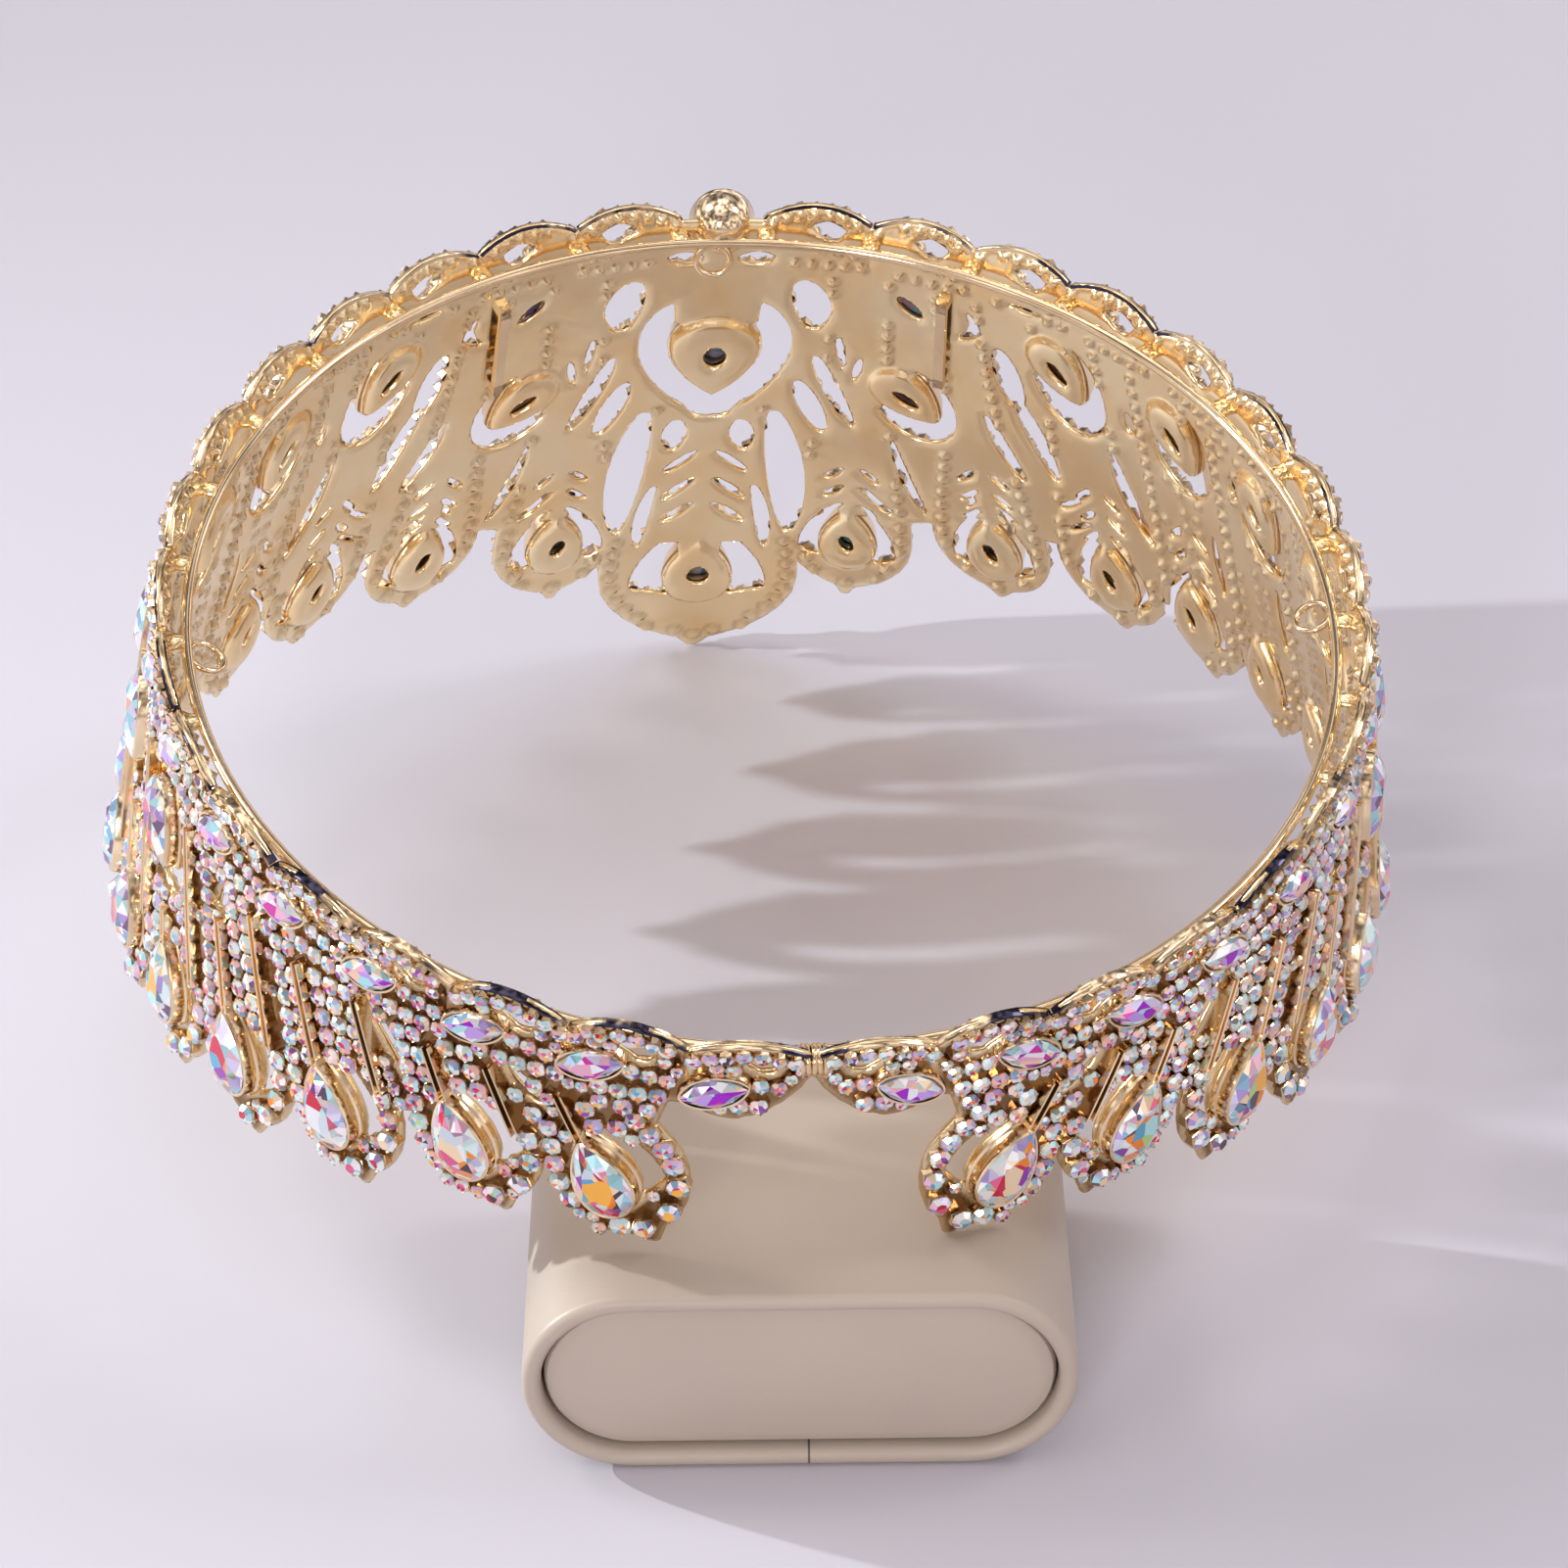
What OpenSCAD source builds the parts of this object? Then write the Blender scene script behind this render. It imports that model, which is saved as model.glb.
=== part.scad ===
// Princess crown with peacock feathers, lying upside down on its front feather
// and on a short padded stand. Millimetres, +Z up, the floor at Z = 0.
// The crown is drawn in its own frame: the base wire lies in the plane Z = 0
// round the Z axis, the front is at +Y, and the feathers hang down from it.

/* [Base wire] */
// Radius of the wire's centre line
ring_r = 75; // [70:0.5:80]
// Thickness of the base wire
wire_d = 1.5; // [1.2:0.1:2]
// Outer diameter of a pin loop
loop_d = 5.8; // [5:0.1:7]
// Thickness of a pin loop's wire
loop_wire = 1; // [0.8:0.1:1.2]

/* [Cast wall] */
// Thickness of the cast wall
wall_t = 1.5; // [1.3:0.1:2]
// Distance from the wire's centre line out to the middle of the wall
wall_off = 2.6; // [2.4:0.1:3]
// Outward lean of the wall below the wire, in degrees from upright
lean = 8.5; // [6:0.5:10]
// Outward flare of the leaf border above the wire, in degrees from upright
flare = 10; // [8:0.5:12]
// Width of the cast band round each eye
band_w = 3.4; // [3:0.1:3.8]
// Height of the ridge along each feather above the wall
ridge_h = 0.7; // [0.4:0.1:1]

/* [Leaf border] */
// Leaves on each side of the front stone
leaf_count = 16; // [16:1:16]
// Half of the gap for the front stone, in degrees
front_gap = 4.6; // [4:0.1:5]
// Height of the notch between two leaves above the wire
notch_h = 2.7; // [2.4:0.1:3]
// Height of a leaf's crest above the notch
crest_h = 2.4; // [2:0.1:2.8]
// Extra height of the taller leaves beside the back
back_rise = 1.2; // [0:0.1:1.3]
// Depth of the border below the wire
border_depth = 6.5; // [5.5:0.1:7.5]

/* [Stones] */
// Width of a pear stone
pear_w = 7; // [6.4:0.1:7.4]
// Length of a pear stone
pear_l = 11.6; // [11:0.1:12.4]
// Width of the front feather's pear stone
front_pear_w = 8.6; // [8:0.1:9]
// Length of the front feather's pear stone
front_pear_l = 13.4; // [12.8:0.1:14]
// Width of a marquise stone
marquise_w = 4.4; // [4:0.1:4.8]
// Length of a marquise stone
marquise_l = 8.6; // [8:0.1:9]
// Diameter of the rhinestones on the border
small_d = 1.8; // [1.6:0.1:2.1]
// Diameter of the largest rhinestones, at the feather tips
tip_d = 2.9; // [2.6:0.1:3]
// Width of the heart stone
heart_w = 12.4; // [11.5:0.1:13]
// Diameter of the round front stone
round_d = 8; // [7.5:0.1:8.5]
// Thickness of a bezel's wall
bezel_t = 0.9; // [0.7:0.1:1]
// Clearance between a stone and its metal
stone_gap = 0.12; // [0.1:0.01:0.15]

/* [Stand] */
// Width of the stand
stand_w = 69; // [66:1:74]
// Depth of the stand from front to back
stand_d = 52; // [48:1:56]
// Thickness of the stand's sleeve
sleeve_t = 2.4; // [2:0.1:3]
// Gap between the sleeve and the core
core_gap = 0.3; // [0.2:0.1:0.5]
// How far the core is set back from each end
core_inset = 1.6; // [1:0.1:2.5]

/* [Resting pose] */
// Rise of the front, in degrees
pitch = 12.4; // [12.4:0.1:12.4]
// Fall of the right side, in degrees
tilt = 2.5; // [2.5:0.1:2.5]
// Turn to the left, seen from above, in degrees
yaw = 4.6; // [4.6:0.1:4.6]
// Height of the wire's centre above the floor
ring_z = 74.22; // [74:0.01:77]
// Height of the stand's top
stand_h = 27.3; // [26:0.1:28]
// Offset of the stand's middle to the right of the ring's
stand_x = 3.4; // [3:0.1:4]
// Distance of the stand's near face from the ring's centre
stand_y = 82.6; // [81:0.1:84]
// Distance from the ring's centre to the middle of the whole, along X
middle_x = -3.01; // [-4:0.01:2]
// Distance from the ring's centre to the middle of the whole, along Y
middle_y = 14.25; // [12:0.01:16]

/* [Hidden] */
$fn = 32;
mean_r = 85;
mm_per_deg = mean_r * PI / 180;
wall_r = ring_r + wall_off;
leaf_deg = (180 - front_gap) / leaf_count;
// A flat strip stands half its sagitta inside the round wall.
strip_sag = wall_r * (1 - cos(leaf_deg / 2)) / 2;
cut = 0.05;
front_pear = [front_pear_w, front_pear_l];

// Feathers from the front to the back of one side, tips and eyes.
ANGLE = 0;   // where the tip is, in degrees from the front
TIP = 1;     // depth of the tip below the wire
SLANT = 2;   // lean of the feather towards the back, in degrees
WIDTH = 3;   // width across the eye
STEM = 4;    // half width of the stem at its root
CAP = 5;     // length of the round end below the widest place
EYE = 6;     // distance from the tip up to the middle of the pear
ROOM = 7;    // width of the open crescent beside the pear, with its bezel
RIDGE = 8;   // distance from the feather's root down to the start of its ridge
feathers = [
    [0, 97, 0, 29.6, 8.8, 19, 19.3, 5.8, 44],
    [14.8, 81, 0, 19.6, 6, 14, 13.6, 3.8, 43],
    [31, 71.5, 8, 19, 5, 12, 10.9, 3.2, 18],
    [45.4, 64.6, 12, 19.6, 7, 12, 10.9, 3.3, 29],
    [57.8, 60.2, 13, 17.6, 7.4, 12, 11.2, 2.8, 26],
    [69.2, 57, 14, 17, 7.6, 12, 11.2, 3.4, 21],
    [80.6, 54.4, 15, 17, 7.6, 12, 11.4, 3.4, 8],
    [92, 51.6, 15, 17, 7.6, 12, 11.6, 3.4, 8],
    [103.4, 48.6, 16, 17.2, 7.6, 12, 11.8, 3.6, 23],
    [115, 45.6, 17, 17.6, 7.8, 12, 12, 3.8, 25],
    [127.2, 42.2, 19, 18.6, 8, 12, 12, 4, 13.5],
    [140.2, 36.8, 24, 19, 8, 12, 12, 4.2, 8],
    [154, 30.4, 26, 19, 8, 12, 12.2, 4.2, 8],
    [167.4, 29.6, 29, 19, 6.5, 12, 12.6, 4, 8],
];
// Upper pears from the front to the back of one side.
DEPTH = 1;   // depth of the pear's middle below the wire
TURN = 2;    // slant of the pear
REACH = 3;   // distance from the pear's middle to the far end of its window
upper = [
    [20.2, 31.2, 50, 10.2],
    [37, 14.6, 40, 12.4],
    [52, 14.6, 38, 10.4],
    [65.4, 14.6, 38, 10],
    [78.6, 14.2, 38, 10],
    [92, 13.8, 40, 10],
    [106, 13.4, 42, 10],
];
// Slots of one side cut through the wall, each from one end to the other.
A1 = 0;      // angle of the first end
D1 = 1;      // depth of the first end
A2 = 2;      // angle of the second end
D2 = 3;      // depth of the second end
WIDE = 4;    // width in the middle
BEND = 5;    // sideways bow of the middle
slots = [
    [1.8, 5.4, 5.6, 5, 2.4, 0],
    [8.6, 9.4, 10.2, 20, 6, 0.6],
    [12.7, 21, 13.4, 28, 1.4, 0],
    [15.2, 25, 14.5, 30.2, 1.3, 0],
    [10.3, 25.4, 14.7, 40.8, 2.9, -0.3],
    [8.6, 31.6, 11.7, 43, 3.7, 0],
    [6.5, 38.4, 8.7, 67.8, 5.8, 0.8],
    [3.2, 41.2, 3.7, 48.4, 3.8, 0],
    [0.8, 48.6, 4.4, 53.6, 1.2, 0],
    [0.8, 55, 4.4, 60.2, 1.2, 0],
    [0.8, 61, 4.4, 65.6, 1.2, 0],
    [5, 56.4, 6.4, 71.6, 2.4, 0.5],
    [16.2, 54.6, 19.6, 59.6, 1.6, -0.6],
    [18.7, 42, 22.8, 58, 1.8, -0.7],
    [26, 9.8, 25.2, 16, 2, 2.2],
    [30.6, 5.2, 34.8, 5.2, 0.9, 0],
    [29.6, 15.4, 32.4, 27, 4.6, 0],
    [31.6, 24, 37.2, 39.4, 3.4, 0],
    [28.6, 30.6, 33.4, 42.4, 2.6, -0.6],
    [27.9, 50.6, 26.8, 53.4, 0.9, 0],
    [29.6, 50.4, 32.8, 53, 0.9, 0],
    [39.8, 41, 37.2, 44.8, 1.1, 0],
    [41.2, 45, 38, 49, 1.1, 0],
    [45.2, 16.4, 45.9, 20.2, 2, 0],
    [43, 26.2, 49.2, 41.6, 3, -1],
    [60, 13.8, 61.2, 17, 1.8, 0],
    [118.4, 9.8, 117.2, 14.6, 1.8, 0],
    [137, 6.8, 143.2, 15.6, 1.5, 0.6],
    [146.4, 9, 147.2, 14, 1.1, 0],
    [152.6, 6.6, 157, 11, 1.4, -0.4],
];
side_count = len(feathers) - 1;
upper_count = len(upper);

function number(k) = k < 10 ? str("0", k) : str(k);
SIDES = ["left", "right"];

// The wall is drawn flat: X is the angle times mm_per_deg, Y the depth along
// the wall. A strip maps it to its own plane, wider where the cone is wider.
function cone_r(depth) = wall_r + (depth > 0 ? depth * sin(lean) : -depth * sin(flare));
function on_strip(p) = [
    (cone_r(p.y) - strip_sag) * tan(p.x / mm_per_deg - $strip),
    p.y
];
function steps(n) = [for (i = [0:n]) i / n];
function turned(p, a) = [p.x * cos(a) + p.y * sin(a), p.y * cos(a) - p.x * sin(a)];
function moved(pts, at, slant) = [for (p = pts) at + turned(p, slant)];

module plate(pts) polygon([for (p = pts) on_strip(p)]);

// Puts children, drawn flat with Z outwards, on the round wall or on its border.
function lean_at(depth) = depth > 0 ? lean : -flare;
module on_wall(angle, depth, slant = 0)
    rotate([0, 0, -angle]) translate([0, wall_r, 0]) rotate([lean_at(depth) - 90, 0, 0])
        translate([0, depth, 0]) rotate(-slant) children();

module both_sides() {
    children();
    mirror([1, 0, 0]) children();
}

module crown_pose()
    translate([-middle_x, -middle_y, ring_z]) rotate([pitch, tilt, yaw]) children();

// Outlines of stones, round end at +Y and point at -Y.
pear_peak = 0.8214;
function pear_outline(w, l, n = 16) = [
    for (i = [0:n - 1]) let (t = 360 * i / n, s = t > 180 ? -1 : 1, u = t > 180 ? 360 - t : t)
        [s * w / 2 * sin(u) * pow(sin(u / 2), 0.7) / pear_peak, -l / 2 * cos(u)]
];
function marquise_outline(w, l, n = 12) = [
    for (i = [0:n - 1]) let (t = 360 * i / n, c = cos(t))
        [w / 2 * sign(sin(t)) * (1 - pow(abs(c), 1.7)), -l / 2 * c]
];
function round_outline(d, n = 8) = [for (i = [0:n - 1]) [d / 2 * sin(360 * i / n), -d / 2 * cos(360 * i / n)]];
// Cut stone: table, star, kite and upper girdle facets over a foiled back.
// The outline has an even number of points, and every second one meets the table.
module cut_stone(outline, crown_h, girdle_h, back_h, table = 0.56) {
    n = len(outline);
    h = n / 2;
    function ring(scale, z, first = 0, step = 1) =
        [for (i = [first:step:n - 1]) [outline[i].x * scale, outline[i].y * scale, z]];
    pts = concat(
        ring(table, crown_h, 0, 2),
        ring((1 + table) / 2 + 0.04, crown_h * 0.55, 1, 2),
        ring(1, 0),
        ring(1, -girdle_h),
        ring(0.5, -girdle_h - back_h)
    );
    t = function(i) (h - i) % h;
    m = function(i) h + (h - i - 1) % h;
    g = function(i) n + (n - i) % n;
    faces = concat(
        [[for (i = [0:h - 1]) t(i)]],
        [for (i = [0:h - 1]) [t(i), m(i), t(i + 1)]],
        [for (i = [0:h - 1]) [t(i), m(i - 1), g(2 * i)]],
        [for (i = [0:h - 1]) [t(i), g(2 * i), m(i)]],
        [for (i = [0:h - 1]) [m(i), g(2 * i), g(2 * i + 1)]],
        [for (i = [0:h - 1]) [m(i), g(2 * i + 1), g(2 * i + 2)]],
        [for (i = [0:n - 1]) [g(i), g(i) + n, g(i + 1) + n, g(i + 1)]],
        [for (i = [0:n - 1]) [g(i) + n, g(i) + 2 * n, g(i + 1) + 2 * n, g(i + 1) + n]],
        [[for (i = [n - 1:-1:0]) g(i) + 2 * n]]
    );
    polyhedron(pts, faces);
}

// Feather drawn in its own axes: l runs from the wire to the tip along the axis.
function feather_length(f) = f[TIP] / cos(f[SLANT]);
function widest(f) = feather_length(f) - f[CAP];
function tip_point(f) = [f[ANGLE] * mm_per_deg, f[TIP]];
function feather_point(f, t, l) = tip_point(f) + turned([t, l - feather_length(f)], f[SLANT]);
function swelling(s) = 3 * s * s - 2 * s * s * s;
function half_width(f, l) =
    let (e = widest(f), c = f[CAP] - 1.6)
    l <= e
        ? f[STEM] + (f[WIDTH] / 2 - f[STEM]) * swelling(pow(l / e, 2))
        : f[WIDTH] / 2 * pow(max(0, 1 - pow((l - e) / c, 2)), f[CAP] > 12 ? 0.66 : 0.5);
function feather_outline(f) =
    let (e = widest(f), c = f[CAP] - 1.6, root = f[ANGLE] == 0 ? 38 : 5,
         ls = concat([for (s = steps(6)) root + s * (e - root)], [for (s = [16, 32, 46, 58, 70]) e + c * sin(s)]))
    concat(
        [for (l = ls) feather_point(f, half_width(f, l), l)],
        [feather_point(f, 0.5, feather_length(f)), feather_point(f, -0.5, feather_length(f))],
        [for (i = [len(ls) - 1:-1:0]) feather_point(f, -half_width(f, ls[i]), ls[i])]
    );
function pear_size(f) = f[ANGLE] == 0 ? front_pear : [pear_w, pear_l];
function pear_shift(f) = f[SLANT] > 12.5 ? -1.8 : 0;
function pear_at(f) = feather_point(f, pear_shift(f), feather_length(f) - f[EYE]);
function pear_grown(size, at, slant, d) =
    moved(pear_outline(size.x + 2 * d, size.y + 2 * d), at, slant);

// Open crescents of an eye, beside its pear.
module eye_window(f, sides) {
    w = pear_size(f).x / 2 + f[ROOM] + 3;
    l = pear_size(f).y / 2;
    in = f[ANGLE] == 0 ? 3.4 : 0.9;
    for (s = sides) difference() {
        intersection() {
            plate(pear_grown(pear_size(f), pear_at(f), f[SLANT], f[ROOM]));
            plate(moved([[s * in, -l - 0.3], [s * w, -l - 0.3], [s * w, l - 3.5], [s * 0.9, l + 0.3]],
                        pear_at(f), f[SLANT]));
        }
        plate(pear_grown(pear_size(f), pear_at(f), f[SLANT], bezel_t));
    }
}

// Sheet that joins the feathers of one side above their eyes.
sheet = concat(
    [[7, 4], [168 * mm_per_deg, 4]],
    [for (k = [side_count:-1:1]) [feathers[k][ANGLE] * mm_per_deg - 3, feathers[k][TIP] - (k > 2 ? 13 : 15.5)]],
    [[9.6 * mm_per_deg, 70], [7, 70]]
);

// Slot with blunt ends, bowed sideways.
function slot_outline(w) =
    let (p = [w[A1] * mm_per_deg, w[D1]], q = [w[A2] * mm_per_deg, w[D2]], d = (q - p) / norm(q - p),
         n = [d.y, -d.x], h = function(s) w[WIDE] / 2 * pow(sin(180 * s), 0.5),
         b = function(s) w[BEND] * sin(180 * s))
    concat(
        [for (s = [0.02, 0.2, 0.5, 0.8, 0.98]) p + (q - p) * s + n * (b(s) + h(s))],
        [for (s = [0.98, 0.8, 0.5, 0.2, 0.02]) p + (q - p) * s + n * (b(s) - h(s))]
    );
// Slot between two plain feathers, along the axis of the first one.
function side_slot(f) =
    let (l = feather_length(f), end = l - f[EYE] - 8, p = feather_point(f, 6.4, end - 0.18 * l),
         q = feather_point(f, 7, end))
    [p.x / mm_per_deg, p.y, q.x / mm_per_deg, q.y, 1.8, -0.4];

// Upper eye: an oval band round a pear whose point hangs down and back.
function upper_at(u) = [u[ANGLE] * mm_per_deg, u[DEPTH]];
function oval(w, l, n = 16) = [for (i = [0:n - 1]) [w / 2 * sin(360 * i / n), l / 2 * cos(360 * i / n)]];
module upper_oval(u, d) let (l = u[REACH] + 6)
    plate(moved(oval(12.4 + 2 * d, l + 2 * d), upper_at(u) + turned([0, u[REACH] - l / 2], u[TURN] * 0.65), u[TURN] * 0.65));
module upper_window(u) difference() {
    intersection() {
        upper_oval(u, 0);
        plate(moved([[-8, 0], [8, -3], [8, 14], [-8, 14]], upper_at(u), u[TURN]));
    }
    plate(pear_grown([pear_w, pear_l], upper_at(u), u[TURN] + 180, bezel_t));
}

// Leaf of the border: from one notch to the next, with its crescent window.
function rise(k) = k > 9 && k < leaf_count - 1 ? back_rise : 0;
function leaf_outline(k) =
    let (a = front_gap + leaf_deg * k, last = k == leaf_count - 1)
    concat(
        [for (s = steps(10)) [(a + leaf_deg * s) * mm_per_deg, -notch_h - (crest_h + rise(k)) * pow(sin(180 * s), 0.8)]],
        last ? [for (s = [1, 0.8, 0.6, 0.4, 0.2]) [(a + leaf_deg * s) * mm_per_deg, 1 + 7.4 * pow(sin(180 * (1 - s) / 1.3), 0.8)]]
             : [[(a + leaf_deg) * mm_per_deg, border_depth]],
        [[a * mm_per_deg, border_depth]]
    );
function crescent_outline(k) =
    let (x = (front_gap + leaf_deg * (k + 0.58)) * mm_per_deg)
    concat(
        [for (s = steps(4)) [x + 3 * (2 * s - 1), -1.3 - (1.2 + rise(k)) * sin(180 * s)]],
        [for (s = [0.8, 0.5]) [x + 3 * (2 * s - 1), 0.9 * (1.2 - s)]]
    );
function marquise_angle(k) = front_gap + leaf_deg * k + 2.4;

// Heart frame at the front, with the crescent window under the heart stone.
heart_depth = 26.5;
round_depth = -0.3;
marquise_depth = 1.8;
stone_z = 2.6;
round_z = 3.2;
function heart_shape(w) = [for (p = pear_outline(w, w + 2.8)) [-p.x, -p.y]];
front_pad = [[-8, -2], [8, -2], [12.5, 4], [12.5, 9], [-12.5, 9], [-12.5, 4]];
function heart_band(w, top, point) = [
    for (t = [0:15:345])
        [w / 2 * sin(t) * (1 + 0.25 * cos(t)), (top + point) / 2 + (point - top) / 2 * -cos(t)
            + (abs(t - 180) < 20 ? 1.2 : 0)]
];
module heart_window() difference() {
    plate(heart_band(23, 13, 39.6));
    plate(pear_grown([heart_w + 0.4, heart_w + 3.2], [0, heart_depth], 180, bezel_t));
    plate([[-8, 0], [8, 0], [6.4, 19.5], [-6.4, 19.5]]);
}

function near(angle) = abs(angle - $strip) < 30;
module side_plates() {
    plate([for (p = sheet) [min(max(p.x, ($strip - 40) * mm_per_deg), ($strip + 40) * mm_per_deg), p.y]]);
    for (f = feathers) if (near(f[ANGLE])) plate(feather_outline(f));
    for (k = [0:leaf_count - 1]) if (near(front_gap + leaf_deg * k)) plate(leaf_outline(k));
    for (u = upper) if (near(u[ANGLE])) upper_oval(u, 2.6);
}
module side_windows() {
    for (k = [0:side_count]) if (near(feathers[k][ANGLE])) eye_window(feathers[k], k < 5 ? [-1, 1] : [1]);
    for (u = upper) if (near(u[ANGLE])) upper_window(u);
    for (k = [0:leaf_count - 1]) if (near(front_gap + leaf_deg * k)) plate(crescent_outline(k));
    for (w = slots) if (near(w[A1])) plate(slot_outline(w));
    for (k = [4:10]) if (near(feathers[k][ANGLE])) plate(slot_outline(side_slot(feathers[k])));
}

module flat_metal() difference() {
    union() {
        side_plates();
        if (near(0)) {
            plate(front_pad);
            plate(heart_band(29.5, 7, 44));
        }
    }
    side_windows();
    if ($strip == 0) mirror([1, 0]) side_windows();
    if (near(0)) heart_window();
}

// One flat strip of the wall with its piece of the border, cut where they meet the next ones.
module strip(angle, wide) {
    $strip = angle;
    edge = function(depth) (cone_r(depth) + wall_t) * tan(wide / 2) + cut;
    for (ends = [[-20, 0.2], [-0.2, 110]])
        rotate([0, 0, -angle]) translate([0, wall_r - strip_sag, 0]) rotate([lean_at(ends[1] - 1) - 90, 0, 0])
            translate([0, 0, -wall_t / 2]) linear_extrude(wall_t) offset(delta = 0.001) intersection() {
                flat_metal();
                polygon([for (e = ends, s = e == ends[0] ? [-1, 1] : [1, -1]) [s * edge(e), e]]);
            }
}

// Raised wall round a stone, sunk to the middle of the cast wall.
module bezel(outer, inner, top)
    linear_extrude(top) offset(delta = 0.001) difference() {
        polygon(outer);
        polygon(inner);
    }
module pear_bezel(size)
    bezel(pear_outline(size.x + 2 * bezel_t, size.y + 2 * bezel_t, 14),
          pear_outline(size.x + 2 * stone_gap, size.y + 2 * stone_gap), stone_z);
module at_eye(f) {
    p = pear_at(f);
    on_wall(p.x / mm_per_deg, p.y, f[SLANT]) children();
}
module at_upper(u) on_wall(u[ANGLE], u[DEPTH], u[TURN] + 180) children();

// Ridge along the middle of a feather, from the border to its pear.
module ridge(f) {
    from = f[RIDGE];
    to = feather_length(f) - f[EYE] - pear_size(f).y / 2;
    mid = feather_point(f, pear_shift(f), (from + to) / 2);
    on_wall(mid.x / mm_per_deg, mid.y, f[SLANT])
        translate([-0.5, (from - to) / 2, 0]) cube([1, to - from, wall_t / 2 + ridge_h]);
}

// Wire loop for a hair pin, drooping from the base wire.
module pin_loop(angle, droop)
    rotate([0, 0, -angle]) translate([0, ring_r, 0]) rotate([droop, 0, 0])
        translate([0, 0.25 - loop_d / 2, 0]) rotate_extrude()
            translate([(loop_d - loop_wire) / 2, 0]) circle(d = loop_wire);

// Solder blob from the base wire to the notch between two leaves.
module solder(angle)
    rotate([0, 0, -angle]) translate([-1.2, ring_r, -0.5]) cube([2.4, wall_off, 1]);

// Bent bar soldered behind the seam of the front casting.
module seam_bar() {
    on_wall(23.8, 7.4) translate([-0.9, 0, -wall_t / 2 - 1.7]) cube([1.8, 18, 0.9]);
    for (y = [7.4, 23.8]) on_wall(23.8, y) translate([-0.9, 0, -wall_t / 2 - 1.7]) cube([1.8, 1.6, 2.2]);
}

// Wire-wrapped link between the two last leaves.
module back_link()
    rotate([0, 0, 180]) translate([0, wall_r, 1.2]) for (x = [-1.4:0.7:1.4])
        translate([x, 0, 0]) rotate([0, 90, 0]) rotate_extrude() translate([1.7, 0]) circle(d = 0.8);

module crown_frame() color("#dcb878") {
    strip(0, 2 * front_gap);
    both_sides() for (k = [0:leaf_count - 1]) strip(front_gap + leaf_deg * (k + 0.5), leaf_deg);
    at_eye(feathers[0]) pear_bezel(front_pear);
    ridge(feathers[0]);
    both_sides() {
        for (k = [1:side_count]) {
            at_eye(feathers[k]) pear_bezel(pear_size(feathers[k]));
            ridge(feathers[k]);
        }
        for (u = upper) at_upper(u) pear_bezel([pear_w, pear_l]);
        for (k = [0:leaf_count - 1]) solder(front_gap + leaf_deg * k);
        seam_bar();
    }
    on_wall(0, heart_depth) bezel(heart_shape(heart_w + 2 * bezel_t), heart_shape(heart_w + 2 * stone_gap), stone_z);
    on_wall(0, round_depth) translate([0, 0, -wall_t / 2]) difference() {
        cylinder(d = round_d + 2 * bezel_t, h = wall_t / 2 + round_z);
        translate([0, 0, wall_t]) cylinder(d = round_d + 2 * stone_gap, h = 5);
    }
    rotate_extrude() translate([ring_r, 0]) circle(d = wire_d);
    pin_loop(-1.2, 78);
    pin_loop(91, 25);
    pin_loop(-94, 25);
    back_link();
}

module eye_pear(k, mirrored) color("#d8eef2") mirror([mirrored, 0, 0]) at_eye(feathers[k])
    translate([0, 0, stone_z]) pear_stone(pear_size(feathers[k]));
module upper_pear(k, mirrored) color("#d8eef2") mirror([mirrored, 0, 0]) at_upper(upper[k - 1])
    translate([0, 0, stone_z]) pear_stone([pear_w, pear_l]);
module pear_stone(size) cut_stone(pear_outline(size.x, size.y), 1.3, 0.5, 0.9);

module heart_stone() color("#d8eef2") on_wall(0, heart_depth) translate([0, 0, stone_z])
    cut_stone(heart_shape(heart_w), 1.9, 0.5, 0.9);
module round_stone() color("#d8eef2") on_wall(0, round_depth) translate([0, 0, round_z])
    cut_stone(round_outline(round_d, 16), 1.6, 0.5, 1.1);

module marquises(mirrored) color("#d8eef2") mirror([mirrored, 0, 0]) {
    for (k = [0:leaf_count - 1]) on_wall(marquise_angle(k), marquise_depth + (k == leaf_count - 1 ? 1.4 : 0), 106)
        marquise();
    on_wall(20, 13, 50) marquise();
}
module marquise() translate([0, 0, wall_t / 2 + 1.3])
    cut_stone(marquise_outline(marquise_w, marquise_l), 0.9, 0.4, 0.5);

// Largest rhinestones: three round each feather's tip, and two on each leaf.
function tip_angles(k, mirrored) =
    k == 0 ? (mirrored == 0 ? [0, 32] : [32]) : pear_shift(feathers[k]) == 0 ? [-35, 0, 35] : [0, 32, 62];
function tip_room(f) = f[EYE] - pear_size(f).y / 2 - bezel_t - tip_d / 2 - 0.3;
module rhinestones(mirrored) color("#d8eef2") mirror([mirrored, 0, 0]) {
    for (k = [0:side_count]) let (f = feathers[k]) for (s = tip_angles(k, mirrored)) {
        c = f[CAP] - (s == 0 ? min(3.4, tip_room(f)) : 3.4);
        p = feather_point(f, (f[WIDTH] / 2 - 1.5) * sin(s), widest(f) + c * cos(s));
        on_wall(p.x / mm_per_deg, p.y) rhinestone(tip_d);
    }
    for (k = [0:leaf_count - 1], s = [0.3, 0.72])
        on_wall(front_gap + leaf_deg * (k + s), -notch_h - 0.7 - 0.9 * rise(k)) rhinestone(small_d);
}
module rhinestone(d) translate([0, 0, wall_t / 2 + 0.65]) cut_small(d);
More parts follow.
